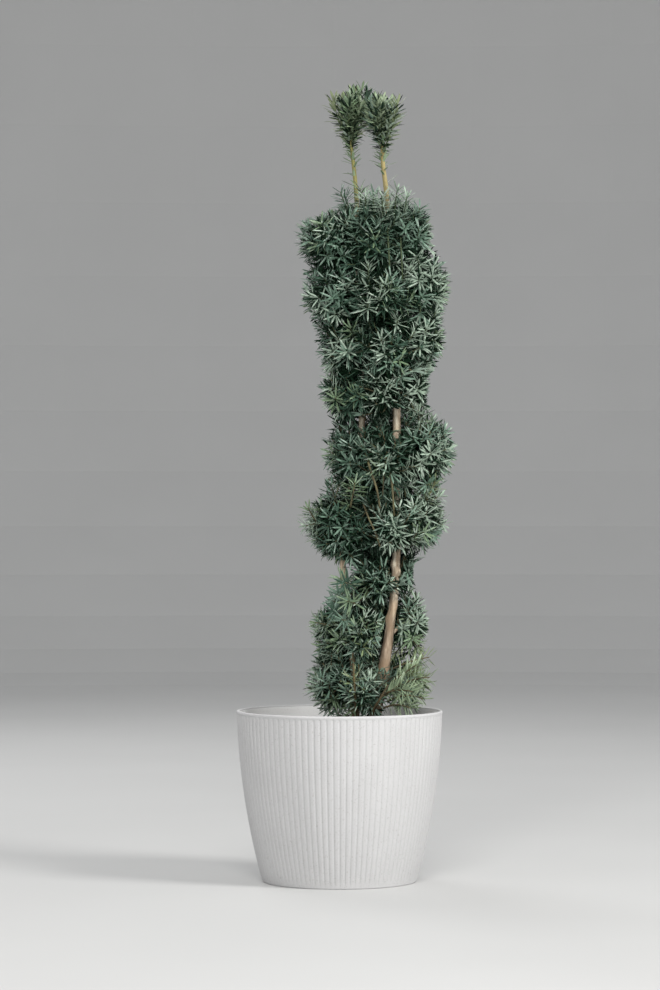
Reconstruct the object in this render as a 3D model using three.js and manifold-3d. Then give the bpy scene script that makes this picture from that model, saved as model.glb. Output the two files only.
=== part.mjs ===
// A young yew trained as a loose spiral, in a round ribbed planter.
// Millimetres, +Z up, +X to the right of the plant's best side, which faces -Y.
// The origin is the middle of the planter's flat underside.
import * as THREE from "three";
import { mergeVertices } from "three/addons/utils/BufferGeometryUtils.js";
import Module from "manifold-3d";

const wasm = await Module();
wasm.setup();

// ---------------------------------------------------------------- driving sizes
const CLEARANCE = 0.3; // kept between pieces that touch in the real plant
const SLIVER = 0.03; // surface detail finer than this is smoothed away

// Planter: a thin bowl whose wall follows a parabola through three radii.
const RIM_HEIGHT = 158;
const RIM_RADIUS = 95.2;
const MIDDLE_RADIUS = 88.2;
const FOOT_RADIUS = 71.6;
const WALL = 2.8;
const FLOOR = 4;
const EDGE_ROUND = 1.4; // rounding of the lip and of the foot's edge
const TURN_SEGMENTS = 36;
const OUTER_STEPS = 5; // rings up the outside of the wall
const INNER_STEPS = 2;

// Compost, filled to a little below the rim.
const COMPOST_TOP = 138;

// Stations up each stem: x, y, height, radius.
const TRUNK_STATIONS = [
  [30, 0, COMPOST_TOP + CLEARANCE, 10.5],
  [32.5, -1, 152, 6.1],
  [40.3, -4, 195, 5.1],
  [47.6, -6, 240, 4.2],
  [51.8, -5, 280, 3.8],
  [52.6, -6, 350, 3.7],
  [53, -7, 430, 3.7],
  [49.5, -3, 510, 3.3],
  [45.2, -2, 580, 2.9],
  [43.4, -4, 636, 2.6],
  [40.2, -5, 664, 2.4],
  [39.4, -6, 690, 2.1],
];
const SECOND_STEM_STATIONS = [
  [12, -8, COMPOST_TOP + CLEARANCE, 5.4],
  [14.5, -10, 152, 3.3],
  [12.6, -12, 200, 2.9],
  [3, -6, 290, 2.8],
  [8, 4, 350, 2.7],
  [21, 2, 425, 2.6],
  [17, -2, 540, 2.5],
  [15.8, 0, 630, 2.4],
  [12.6, 3, 668, 2.1],
  [9, 5, 694, 1.9],
];
const TRUNK_SIDES = 8;
const SECOND_STEM_SIDES = 6;
const BOUGH_SIDES = 5;
const STEM_SIDES = 4; // of the stem inside a mass
const STATION_STEPS = 2; // rings between one station and the next

// Tiers of the clipped foliage, from the compost up. Each has the height of its middle, half its height,
// how far its needle tips reach to the left, right, front and back, and where its front mass sits.
// The masses of a tier climb as they go round the trunk.
const TIERS = [
  { name: "skirt", z: 183, half: 37, left: -36, right: 86, front: -50, back: 50, frontX: 20 },
  { name: "lower", z: 237, half: 36, left: -30, right: 84, front: -46, back: 50, frontX: 22 },
  { name: "waist", z: 287, half: 31, left: 0, right: 69, front: -40, back: 44, frontX: 33 },
  { name: "belly", z: 335, half: 38, left: -41, right: 99, front: -50, back: 52, frontX: 48 },
  { name: "middle", z: 399, half: 38, left: -20, right: 111, front: -50, back: 54, frontX: 44 },
  { name: "neck", z: 459, half: 29, left: -22, right: 84, front: -44, back: 48, frontX: 40 },
  { name: "upper", z: 500, half: 34, left: -24, right: 100, front: -52, back: 52, frontX: 46 },
  { name: "crown", z: 549, half: 37, left: -40, right: 106, front: -54, back: 54, frontX: 36 },
  { name: "top", z: 600, half: 38, left: -44, right: 88, front: -46, back: 48, frontX: 30 },
];
const TIERS_OPEN_LEFT = ["waist"]; // tiers with no mass on the left, where the second stem stands clear
const SIDES = ["left", "front", "right", "back"];
const SIDE_CLIMB = { left: -5, front: -7, right: 2, back: 9 }; // from the tier's middle

// How a tier's room is dealt among its masses: shares of its width or depth that a mass reaches each way.
const LEFT_WIDTH = 0.29;
const BACK_WIDTH = 0.36;
const SIDE_DEPTH = 0.4;
const FRONT_DEPTH = 0.28;
const BACK_DEPTH = 0.3;
const FRONT_REACH = 29; // to the left and right of a front mass
const BACK_SET_LEFT = 14; // of the trunk
const RIGHT_SET_LEFT = 2; // towards the trunk, to overlap the front and back masses

// Tufts of needles that the two leading shoots end in.
const TUFTS = [
  { name: "right_tuft", centre: [41.5, -7, 708], reach: [23, 22, 25], from: "trunk" },
  { name: "left_tuft", centre: [9.8, 6, 714], reach: [27, 25, 28], from: "second_stem" },
];

// Stretches of height where the trunk shows from the front, bare of needles.
const BARE_STRETCHES = [
  [196, 262],
  [279, 307],
  [407, 441],
];
const BARE_HALF_WIDTH = 7;

// Foliage
const CORE_SHARE = 0.56; // of a mass's reach, taken up by its clipped core
const TUFT_CORE_SHARE = 0.22;
const CORE_HOLLOW = 0.86; // size of a core's skin between its peaks
const CORE_PEAK = 1.35; // and at its highest peaks
const BUD_RADIUS = 3.4;
const BUD_STANDS_OUT = 4; // from the core's skin to the middle of a bud
const TWIG_RADIUS = 1.4;
const TWIGS = 3; // at most, on a clipped mass
const TUFT_TWIGS = 5;
const TWIG_SPREAD = 0.5; // cosine of the least angle between two twigs of a mass
const TWIG_TRIES = 24; // directions tried for a mass's twigs
const TWIG_STRIDE = 7; // from one direction to the next, in the order they spread over the ball
const TWIG_WOBBLE = 0.4; // of the directions, as a share of the ball's radius
const FEWEST_NEEDLES = 3; // on a bud
const NEEDLE_LENGTH = 18.5; // from the bud's middle
const SHORTEST_NEEDLE = 8.5;
const NEEDLE_HALF_WIDTH = 1.8;
const NEEDLE_BACKWARD = -0.3; // cosine to the twig beyond which a bud's face has no needle
const CORE_GAP = 1.5; // between a needle and the core
const POT_GAP = 3; // between a needle and the compost or the planter
const BOUGH_BASE_RADIUS = 2.2;
const BOUGH_TIP_RADIUS = 1.6;
const BOUGH_CLIMB = 9; // how far a bough rises from its foot to its tip
const BOUGH_SAG = 1.5;
const SHORTEST_BOUGH = 7; // from the stem's middle
const SEED = 31;

const COLOURS = {
  planter: { color: 0xd6d5d1, roughness: 0.72, metalness: 0 },
  compost: { color: 0x2c2018, roughness: 0.95, metalness: 0 },
  bark: { color: 0x9a7458, roughness: 0.85, metalness: 0 },
  foliage: { color: 0x3d5648, roughness: 0.55, metalness: 0 },
};

// ---------------------------------------------------------------- solids and meshes

// A closed geometry as a manifold solid, its shared vertices merged.
function solidOf(geometry) {
  const bare = geometry.clone();
  bare.deleteAttribute("normal");
  bare.deleteAttribute("uv");
  const merged = mergeVertices(bare, 1e-4);
  return new wasm.Manifold(
    new wasm.Mesh({
      numProp: 3,
      vertProperties: new Float32Array(merged.attributes.position.array),
      triVerts: new Uint32Array(merged.index.array),
    }),
  );
}

// The largest body of a solid as a geometry, without its slivers. Loose scraps are dropped.
function geometryOf(solid) {
  const bodies = solid.simplify(SLIVER).decompose();
  const largest = bodies.reduce((a, b) => (b.volume() > a.volume() ? b : a));
  const mesh = largest.getMesh();
  const position = new Float32Array(mesh.numVert * 3);
  for (let i = 0; i < mesh.numVert; i++) {
    position.set(mesh.vertProperties.subarray(i * mesh.numProp, i * mesh.numProp + 3), i * 3);
  }
  const geometry = new THREE.BufferGeometry();
  geometry.setAttribute("position", new THREE.BufferAttribute(position, 3));
  geometry.setIndex(new THREE.BufferAttribute(new Uint32Array(mesh.triVerts), 1));
  geometry.computeVertexNormals();
  return geometry;
}

function namedMesh(name, geometry, finish) {
  const mesh = new THREE.Mesh(geometry, new THREE.MeshStandardMaterial(COLOURS[finish]));
  mesh.name = name;
  return mesh;
}

// A repeatable stream of numbers from 0 to 1.
function seededRandom(seed) {
  let state = seed >>> 0;
  return () => {
    state = (state + 0x6d2b79f5) >>> 0;
    let mixed = Math.imul(state ^ (state >>> 15), state | 1);
    mixed ^= mixed + Math.imul(mixed ^ (mixed >>> 7), mixed | 61);
    return ((mixed ^ (mixed >>> 14)) >>> 0) / 4294967296;
  };
}

// ---------------------------------------------------------------- planter and compost

// Outer radius at a height: the parabola through the foot, middle and rim radii.
function outerRadius(height) {
  const share = height / RIM_HEIGHT;
  const foot = FOOT_RADIUS * (1 - share) * (1 - 2 * share);
  const middle = MIDDLE_RADIUS * 4 * share * (1 - share);
  const rim = RIM_RADIUS * share * (2 * share - 1);
  return foot + middle + rim;
}

function wallPoints(bottom, top, inset, steps) {
  return Array.from({ length: steps + 1 }, (_, i) => {
    const height = bottom + ((top - bottom) * i) / steps;
    return new THREE.Vector2(outerRadius(height) - inset, height);
  });
}

// A lathe turned about Z, from a profile that starts and ends on the axis.
function turned(profile) {
  return new THREE.LatheGeometry(profile, TURN_SEGMENTS).rotateX(Math.PI / 2);
}

function planterGeometry() {
  const lip = outerRadius(RIM_HEIGHT);
  return turned([
    new THREE.Vector2(0, 0),
    new THREE.Vector2(FOOT_RADIUS - EDGE_ROUND, 0),
    ...wallPoints(EDGE_ROUND, RIM_HEIGHT - EDGE_ROUND, 0, OUTER_STEPS),
    new THREE.Vector2(lip - EDGE_ROUND * 0.4, RIM_HEIGHT - EDGE_ROUND * 0.3),
    new THREE.Vector2(lip - EDGE_ROUND, RIM_HEIGHT),
    new THREE.Vector2(lip - WALL + EDGE_ROUND * 0.4, RIM_HEIGHT),
    ...wallPoints(FLOOR, RIM_HEIGHT - EDGE_ROUND, WALL, INNER_STEPS).reverse(),
    new THREE.Vector2(0, FLOOR),
  ]);
}

function compostGeometry() {
  return turned([
    new THREE.Vector2(0, FLOOR + CLEARANCE),
    ...wallPoints(FLOOR + CLEARANCE, COMPOST_TOP, WALL + 4 * CLEARANCE, INNER_STEPS),
    new THREE.Vector2(0, COMPOST_TOP),
  ]);
}

// ---------------------------------------------------------------- stems and boughs

// A limb is a smooth line through its stations, with a radius at each.
class Limb {
  constructor(stations, sides, stepsPerStation) {
    this.radii = stations.map((station) => station[3]);
    this.curve = new THREE.CatmullRomCurve3(
      stations.map(([x, y, z]) => new THREE.Vector3(x, y, z)),
      false,
      "centripetal",
    );
    this.sides = sides;
    this.steps = (stations.length - 1) * stepsPerStation;
    this.samples = Array.from({ length: this.steps + 1 }, (_, i) => ({
      point: this.curve.getPoint(i / this.steps),
      radius: this.radiusAt(i / this.steps),
    }));
  }

  radiusAt(share) {
    const place = share * (this.radii.length - 1);
    const below = Math.min(Math.floor(place), this.radii.length - 2);
    return THREE.MathUtils.lerp(this.radii[below], this.radii[below + 1], place - below);
  }

  // A closed cylinder bent along the limb's line, grown by a margin on all sides. A level foot stands flat.
  geometry(margin = 0, levelFoot = false) {
    const cylinder = new THREE.CylinderGeometry(1, 1, 1, this.sides, this.steps);
    const position = cylinder.attributes.position;
    const side = new THREE.Vector3(1, 0, 0);
    for (let i = 0; i < position.count; i++) {
      const share = THREE.MathUtils.clamp(position.getY(i) + 0.5, 0, 1);
      const along = this.curve.getTangent(share);
      if (levelFoot && share < 1e-6) along.set(0, 0, 1);
      const across = side.clone().addScaledVector(along, -side.dot(along)).normalize();
      const other = new THREE.Vector3().crossVectors(along, across);
      const radius = this.radiusAt(share) + margin;
      const past = share < 1e-6 ? -margin : share > 1 - 1e-6 ? margin : 0;
      const point = this.curve
        .getPoint(share)
        .addScaledVector(along, past)
        .addScaledVector(across, position.getX(i) * radius)
        .addScaledVector(other, -position.getZ(i) * radius);
      position.setXYZ(i, point.x, point.y, point.z);
    }
    return cylinder;
  }

  // Distance from a point to the limb's bark, below zero inside it.
  distanceTo(point) {
    let least = Infinity;
    const closest = new THREE.Vector3();
    const line = new THREE.Line3();
    for (let i = 0; i < this.steps; i++) {
      const a = this.samples[i];
      const b = this.samples[i + 1];
      line.set(a.point, b.point);
      const share = line.closestPointToPointParameter(point, true);
      line.at(share, closest);
      const radius = THREE.MathUtils.lerp(a.radius, b.radius, share);
      least = Math.min(least, closest.distanceTo(point) - radius);
    }
    return least;
  }

  // The point of the limb's line at a height.
  pointAtHeight(height) {
    const above = this.samples.findIndex((sample) => sample.point.z >= height);
    if (above <= 0) return this.samples[above < 0 ? this.steps : 0].point.clone();
    const a = this.samples[above - 1].point;
    const b = this.samples[above].point;
    return a.clone().lerp(b, (height - a.z) / (b.z - a.z));
  }
}

const trunk = new Limb(TRUNK_STATIONS, TRUNK_SIDES, STATION_STEPS);
const secondStem = new Limb(SECOND_STEM_STATIONS, SECOND_STEM_SIDES, STATION_STEPS);
const stems = { trunk, second_stem: secondStem };

// ---------------------------------------------------------------- where the masses are

// The centre and reach of one tier's mass on one side. Left and right masses set the plant's outline.
function tierMass(tier, side) {
  const height = tier.z + SIDE_CLIMB[side];
  const trunkX = trunk.pointAtHeight(height).x;
  const width = tier.right - tier.left;
  const depth = tier.back - tier.front;
  const rightReach = (tier.right - trunkX) / 2 + RIGHT_SET_LEFT;
  const places = {
    left: { x: tier.left + width * LEFT_WIDTH, y: 0, reachX: width * LEFT_WIDTH, reachY: depth * SIDE_DEPTH },
    right: { x: tier.right - rightReach, y: 1, reachX: rightReach, reachY: depth * SIDE_DEPTH },
    front: {
      x: tier.frontX,
      y: tier.front + depth * FRONT_DEPTH,
      reachX: FRONT_REACH,
      reachY: depth * FRONT_DEPTH,
    },
    back: {
      x: trunkX - BACK_SET_LEFT,
      y: tier.back - depth * BACK_DEPTH,
      reachX: width * BACK_WIDTH,
      reachY: depth * BACK_DEPTH,
    },
  };
  const place = places[side];
  return {
    name: `${tier.name}_${side}`,
    side,
    centre: new THREE.Vector3(place.x, place.y, height),
    reach: new THREE.Vector3(place.reachX, place.reachY, tier.half),
    coreShare: CORE_SHARE,
    twigs: TWIGS,
  };
}

function listMasses() {
  const clipped = TIERS.flatMap((tier) => {
    const sides = TIERS_OPEN_LEFT.includes(tier.name) ? SIDES.slice(1) : SIDES;
    return sides.map((side) => tierMass(tier, side));
  });
  const tufts = TUFTS.map((tuft) => ({
    name: tuft.name,
    side: "tuft",
    centre: new THREE.Vector3(...tuft.centre),
    reach: new THREE.Vector3(...tuft.reach),
    coreShare: TUFT_CORE_SHARE,
    twigs: TUFT_TWIGS,
    from: stems[tuft.from],
  }));
  return [...clipped, ...tufts];
}

const masses = listMasses();

// How far a mass reaches from its centre in a direction.
function reachTowards(mass, direction) {
  return 1 / direction.clone().divide(mass.reach).length();
}

// The planes that part a mass from its neighbours, set back by half the clearance. The mass lies behind them.
function partingPlanes(mass) {
  return masses
    .filter((other) => other !== mass)
    .map((other) => {
      const towards = other.centre.clone().sub(mass.centre);
      const distance = towards.length();
      towards.divideScalar(distance);
      const own = reachTowards(mass, towards);
      const share = own / (own + reachTowards(other, towards));
      const onPlane = mass.centre.clone().addScaledVector(towards, distance * share - CLEARANCE / 2);
      return new THREE.Plane().setFromNormalAndCoplanarPoint(towards, onPlane);
    })
    .filter((plane) => -plane.distanceToPoint(mass.centre) < Math.max(...mass.reach.toArray()));
}

for (const mass of masses) mass.planes = partingPlanes(mass);

// ---------------------------------------------------------------- boughs

// The point of the nearer stem that a mass grows from, a little below the mass's middle.
function nearestStemPoint(mass) {
  const feet = Object.values(stems).map((stem) => stem.pointAtHeight(mass.centre.z - BOUGH_CLIMB));
  return feet.reduce((a, b) => (b.distanceTo(mass.centre) < a.distanceTo(mass.centre) ? b : a));
}

// A bough runs from the nearer stem to the edge of the mass's core, rising on the way.
// A mass that grows close to a stem has none.
function boughFor(mass) {
  const foot = nearestStemPoint(mass);
  const outward = mass.centre.clone().sub(foot);
  const length = outward.length() - CORE_SHARE * mass.reach.x;
  if (length < SHORTEST_BOUGH) return null;
  const tip = foot.clone().addScaledVector(outward.normalize(), length);
  const bend = foot.clone().lerp(tip, 0.5);
  bend.z -= BOUGH_SAG;
  const station = (point, radius) => [point.x, point.y, point.z, radius];
  const middleRadius = (BOUGH_BASE_RADIUS + BOUGH_TIP_RADIUS) / 2;
  return new Limb(
    [station(foot, BOUGH_BASE_RADIUS), station(bend, middleRadius), station(tip, BOUGH_TIP_RADIUS)],
    BOUGH_SIDES,
    1,
  );
}

// The stem of a mass runs to its middle, from just off its bough's tip or from the nearer stem.
function massStem(mass) {
  const carrier = mass.bough ?? mass.from;
  const foot = carrier
    ? carrier.curve.getPoint(1).addScaledVector(carrier.curve.getTangent(1), CLEARANCE)
    : nearestStemPoint(mass);
  const station = (point, radius) => [point.x, point.y, point.z, radius];
  return new Limb([station(foot, TWIG_RADIUS * 1.2), station(mass.centre, TWIG_RADIUS)], STEM_SIDES, 1);
}

for (const mass of masses) {
  mass.bough = mass.side === "left" || mass.side === "right" ? boughFor(mass) : null;
  mass.stem = massStem(mass);
}
const boughs = masses.filter((mass) => mass.bough).map((mass) => mass.bough);
const limbs = [...Object.values(stems), ...boughs];
const grownStems = Object.values(stems).map((stem) => solidOf(stem.geometry(CLEARANCE)));
const grownLimbs = [...grownStems, ...boughs.map((bough) => solidOf(bough.geometry(CLEARANCE)))];
for (const mass of masses) mass.grownStem = solidOf(mass.stem.geometry(CLEARANCE));

// ---------------------------------------------------------------- twigs and needles

const UP = new THREE.Vector3(0, 1, 0); // the axis that cones and cylinders are made along

// A cone or cylinder moved so that it runs from one point to another.
function between(geometry, from, to) {
  const along = to.clone().sub(from);
  const turn = new THREE.Quaternion().setFromUnitVectors(UP, along.clone().normalize());
  return geometry
    .scale(1, along.length(), 1)
    .applyQuaternion(turn)
    .translate(...from.clone().lerp(to, 0.5).toArray());
}

function twigGeometry(root, tip) {
  return between(new THREE.CylinderGeometry(TWIG_RADIUS * 0.8, TWIG_RADIUS, 1, 3), root, tip);
}

// A direction spread evenly over the sphere, the i-th of count, with a seeded wobble.
function spreadDirection(i, count, random) {
  const height = 1 - (2 * (i + 0.5)) / count;
  const round = Math.sqrt(1 - height * height);
  const angle = i * Math.PI * (3 - Math.sqrt(5));
  const wobble = new THREE.Vector3(random(), random(), random()).subScalar(0.5).multiplyScalar(TWIG_WOBBLE);
  const even = new THREE.Vector3(Math.cos(angle) * round, Math.sin(angle) * round, height);
  return even.add(wobble).normalize();
}

// True where the trunk is left bare: in front of it, on the stretches of height that show.
function inBareStretch(point) {
  if (!BARE_STRETCHES.some(([low, high]) => point.z > low && point.z < high)) return false;
  const stem = trunk.pointAtHeight(point.z);
  return point.y < stem.y && Math.abs(point.x - stem.x) < BARE_HALF_WIDTH;
}

// True where a ball stays in the mass's own space: inside its reach, on its side of the parting planes,
// above the compost and inside the planter's wall.
function keepsToSpace(mass, point, radius) {
  if (point.clone().sub(mass.centre).divide(mass.reach).length() > 1) return false;
  if (point.z < COMPOST_TOP + POT_GAP) return false;
  const wall = outerRadius(Math.min(point.z, RIM_HEIGHT)) - WALL - POT_GAP;
  if (point.z < RIM_HEIGHT + POT_GAP && Math.hypot(point.x, point.y) > wall) return false;
  if (inBareStretch(point)) return false;
  return mass.planes.every((plane) => plane.distanceToPoint(point) < -radius);
}

// Tests points along a twig or needle against the space and against every limb and neighbour's stem.
function canGrow(mass, root, tip, halfWidth) {
  const others = mass.neighbourStems;
  return [0.35, 0.6, 0.85, 1].every((share) => {
    const point = root.clone().lerp(tip, share);
    const radius = halfWidth * (1 - share * 0.8);
    if (!keepsToSpace(mass, point, radius)) return false;
    return [...limbs, ...others].every((limb) => limb.distanceTo(point) > radius + CLEARANCE);
  });
}

// True where a ball is clear of the mass's own core.
function clearOfCore(mass, point, radius) {
  const outward = point.clone().sub(mass.centre);
  const distance = outward.length();
  const skin = reachTowards(mass, outward.divideScalar(distance)) * mass.coreShare;
  return distance > skin + radius;
}

// Where a needle's tip lies, as far out as the mass's reach allows, or nothing where the needle can't grow.
function needleTip(mass, middle, direction, longest) {
  for (let length = longest; length >= SHORTEST_NEEDLE; length -= 1.2) {
    const tip = middle.clone().addScaledVector(direction, length);
    const clear = [0.5, 1].every((share) => clearOfCore(mass, middle.clone().lerp(tip, share), CORE_GAP));
    if (clear && canGrow(mass, middle, tip, NEEDLE_HALF_WIDTH)) return tip;
  }
  return null;
}

// A spray: a small faceted bud whose outward faces are each drawn out into a needle.
function sprayGeometry(mass, middle, along, random) {
  const turn = new THREE.Euler(...[0, 1, 2].map(() => random() * 2 * Math.PI));
  const bud = new THREE.IcosahedronGeometry(BUD_RADIUS, 0)
    .applyMatrix4(new THREE.Matrix4().makeRotationFromEuler(turn))
    .translate(...middle.toArray());
  const corners = bud.attributes.position;
  const triangles = [];
  let needles = 0;
  for (let i = 0; i < corners.count; i += 3) {
    const [a, b, c] = [0, 1, 2].map((k) => new THREE.Vector3().fromBufferAttribute(corners, i + k));
    const outward = a.clone().add(b).add(c).divideScalar(3).sub(middle).normalize();
    const longest = NEEDLE_LENGTH * (0.85 + 0.3 * random());
    const faces = outward.dot(along) > NEEDLE_BACKWARD;
    const tip = faces ? needleTip(mass, middle, outward, longest) : null;
    if (tip) needles += 1;
    triangles.push(...(tip ? [a, b, tip, b, c, tip, c, a, tip] : [a, b, c]));
  }
  if (needles < FEWEST_NEEDLES) return null;
  return new THREE.BufferGeometry().setFromPoints(triangles);
}

// The clipped core of a mass: a rough ball, cut back to the mass's own space.
function coreSolid(mass, random) {
  const core = new THREE.IcosahedronGeometry(1, 1);
  const position = core.attributes.position;
  const swell = new Map();
  for (let i = 0; i < position.count; i++) {
    const key = [position.getX(i), position.getY(i), position.getZ(i)].map((v) => v.toFixed(3)).join(" ");
    if (!swell.has(key)) swell.set(key, THREE.MathUtils.lerp(CORE_HOLLOW, CORE_PEAK, random() ** 3));
    const size = mass.coreShare * swell.get(key);
    position.setXYZ(i, position.getX(i) * size, position.getY(i) * size, position.getZ(i) * size);
  }
  core.scale(...mass.reach.toArray()).translate(...mass.centre.toArray());
  return mass.planes.reduce(
    (cut, plane) => cut.trimByPlane(plane.normal.clone().negate().toArray(), plane.constant),
    solidOf(core),
  );
}

// The way a mass's i-th twig points. The first of a left or right mass points straight out to that side.
function twigDirection(mass, i, random) {
  const spread = spreadDirection((i * TWIG_STRIDE) % TWIG_TRIES, TWIG_TRIES, random);
  if (i === 0 && mass.side === "left") return spread.set(-1, 0, 0);
  if (i === 0 && mass.side === "right") return spread.set(1, 0, 0);
  return spread;
}

// A mass: its stem, its core, and the twigs with sprays of needles that stand out of the core.
function massGeometry(mass, index) {
  const random = seededRandom(SEED + index * 101);
  const neighbours = masses.filter((other) => other !== mass);
  mass.neighbourStems = neighbours.map((other) => other.stem);
  const parts = [coreSolid(mass, random), solidOf(mass.stem.geometry())];
  const grown = [];
  for (let i = 0; i < TWIG_TRIES && grown.length < mass.twigs; i++) {
    const direction = twigDirection(mass, i, random);
    if (grown.some((other) => other.dot(direction) > TWIG_SPREAD)) continue;
    const skin = reachTowards(mass, direction) * mass.coreShare;
    const root = mass.centre.clone().addScaledVector(direction, skin * 0.5);
    const middle = mass.centre.clone().addScaledVector(direction, skin + BUD_STANDS_OUT);
    if (!canGrow(mass, root, middle, TWIG_RADIUS) || !keepsToSpace(mass, middle, BUD_RADIUS)) continue;
    const spray = sprayGeometry(mass, middle, direction, random);
    if (!spray) continue;
    parts.push(solidOf(twigGeometry(root, middle)), solidOf(spray));
    grown.push(direction);
  }
  const cutters = [...grownLimbs, ...neighbours.map((other) => other.grownStem)];
  return geometryOf(wasm.Manifold.difference([wasm.Manifold.union(parts), ...cutters]));
}

// ---------------------------------------------------------------- assembly

const plant = new THREE.Group();
plant.name = "spiral_topiary";
plant.add(namedMesh("planter", planterGeometry(), "planter"));
plant.add(namedMesh("compost", compostGeometry(), "compost"));
plant.add(namedMesh("trunk", trunk.geometry(0, true), "bark"));
plant.add(namedMesh("second_stem", secondStem.geometry(0, true), "bark"));
masses.forEach((mass, index) => {
  if (mass.bough) {
    const bough = wasm.Manifold.difference([solidOf(mass.bough.geometry()), ...grownStems]);
    plant.add(namedMesh(`bough_${mass.name}`, geometryOf(bough), "bark"));
  }
  plant.add(namedMesh(`foliage_${mass.name}`, massGeometry(mass, index), "foliage"));
});

export default plant;
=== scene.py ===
"""A young needle-leaved evergreen in a ribbed planter, clipped to a loose spiral round two twining stems.

Sizes are in millimetres, with +Z up and the plant's best side towards -Y. They become metres when a mesh
is made. A shape is worked out as whole arrays: a tube carried along a line, a profile turned about the
planter's axis, or one blade repeated at every needle's root.
"""

import logging  # noqa: E402
import math  # noqa: E402
from dataclasses import dataclass, field, replace  # noqa: E402
from enum import Enum  # noqa: E402
from typing import Any, Iterable, Mapping, Self, Sequence  # noqa: E402

import bpy  # noqa: E402
import numpy as np  # noqa: E402
from numpy.typing import NDArray  # noqa: E402
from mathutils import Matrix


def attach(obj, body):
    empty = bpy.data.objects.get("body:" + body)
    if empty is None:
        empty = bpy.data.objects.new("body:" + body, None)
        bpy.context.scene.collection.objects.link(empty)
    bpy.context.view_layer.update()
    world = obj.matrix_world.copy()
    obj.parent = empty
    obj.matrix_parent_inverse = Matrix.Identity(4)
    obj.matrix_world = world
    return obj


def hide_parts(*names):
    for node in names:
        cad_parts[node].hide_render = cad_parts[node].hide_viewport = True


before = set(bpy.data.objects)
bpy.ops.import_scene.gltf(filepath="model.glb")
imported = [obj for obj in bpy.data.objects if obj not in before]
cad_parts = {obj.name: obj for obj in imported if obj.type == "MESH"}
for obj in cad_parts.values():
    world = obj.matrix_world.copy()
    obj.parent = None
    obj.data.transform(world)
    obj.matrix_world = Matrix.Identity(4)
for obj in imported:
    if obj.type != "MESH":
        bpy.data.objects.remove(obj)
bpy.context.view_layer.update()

Floats = NDArray[np.float64]
Ints = NDArray[np.int64]
Mask = NDArray[np.bool_]
Random = np.random.Generator
Pair = tuple[float, float]
Triple = tuple[float, float, float]
Colour = Triple
Station = tuple[float, float, float, float]

MM = 0.001
FULL_TURN = 2 * math.pi
GOLDEN_ANGLE = math.pi * (3 - math.sqrt(5))
GOLDEN_RATIO = (1 + math.sqrt(5)) / 2
UP = np.array([0.0, 0.0, 1.0])
BODY = "root"
log = logging.getLogger("spiral_topiary")


# ---------------------------------------------------------------- arrays


def unit(vectors: Floats) -> Floats:
    """Vectors, along the last axis, divided by their lengths."""
    return vectors / np.maximum(np.linalg.norm(vectors, axis=-1, keepdims=True), 1e-9)


def smoothstep(low: float, high: float, values: Floats) -> Floats:
    """0 below low, 1 above high, and 3t² - 2t³ between them."""
    t = np.clip((values - low) / (high - low), 0, 1)
    return t * t * (3 - 2 * t)


def even_directions(count: int, turn: float) -> Floats:
    """Directions spread evenly over a ball along the golden spiral.

    Args:
        count: How many directions.
        turn: The angle at which the spiral starts, in radians.

    Returns:
        Unit vectors, one row each.
    """
    steps = np.arange(count)
    height = 1 - (2 * steps + 1) / count
    round_ = np.sqrt(1 - height**2)
    angle = steps * GOLDEN_ANGLE + turn
    return np.column_stack([np.cos(angle) * round_, np.sin(angle) * round_, height])


def ripples(points: Floats, wavelength: float, waves: int, rng: Random) -> Floats:
    """A smooth random field: the mean of sine waves of about one wavelength in random directions.

    Args:
        points: Where the field is read, in rows.
        wavelength: Of the waves, in the points' unit.
        waves: How many are added.
        rng: Deals the directions and phases.

    Returns:
        One number a point, mostly between -1 and 1.
    """
    ways = unit(rng.normal(size=(waves, points.shape[-1])))
    pitch = FULL_TURN / (wavelength * rng.uniform(0.7, 1.4, waves))
    phase = rng.uniform(0, FULL_TURN, waves)
    return np.sin((points @ ways.T) * pitch + phase).sum(axis=-1) / math.sqrt(waves)


def angles_round(count: int) -> Floats:
    """So many angles, evenly spaced round a full turn from 0."""
    return np.arange(count) * FULL_TURN / count


def bowed(starts: Floats, bends: Floats, ends: Floats, shares: Floats) -> Floats:
    """Points (1-s)²A + 2s(1-s)B + s²C of quadratic curves.

    Args:
        starts: A of each curve, in rows.
        bends: B, towards which the curve is pulled.
        ends: C.
        shares: Rows of s, from 0 at the start to 1 at the end.

    Returns:
        Curves × shares × 3.
    """
    s = shares[..., None]
    return (1 - s) ** 2 * starts[:, None] + 2 * s * (1 - s) * bends[:, None] + s**2 * ends[:, None]


# ---------------------------------------------------------------- surfaces


def grid_quads(rows: int, columns: int) -> Ints:
    """Quads of a grid whose last column joins its first.

    Args:
        rows: Rings of corners.
        columns: Corners in a ring.

    Returns:
        Four corner numbers a face. Columns run anticlockwise as seen from the last row.
    """
    row, column = np.meshgrid(np.arange(rows - 1), np.arange(columns), indexing="ij")
    here, beside = row * columns + column, row * columns + (column + 1) % columns
    return np.stack([here, beside, beside + columns, here + columns], axis=-1).reshape(-1, 4)


def pole_caps(sides: int, first: int, last: int, near: int, far: int) -> Ints:
    """Triangles that close a grid's first and last rings, each at a pole beyond it.

    Args:
        sides: Corners in a ring.
        first: Number of the first ring's first corner.
        last: Number of the last ring's first corner.
        near: Number of the pole before the first ring.
        far: Number of the pole after the last ring.

    Returns:
        Three corner numbers a face.
    """
    ring = np.arange(sides)
    after = (ring + 1) % sides
    near_cap = np.column_stack([np.full(sides, near), first + after, first + ring])
    far_cap = np.column_stack([np.full(sides, far), last + ring, last + after])
    return np.vstack([near_cap, far_cap])


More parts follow.
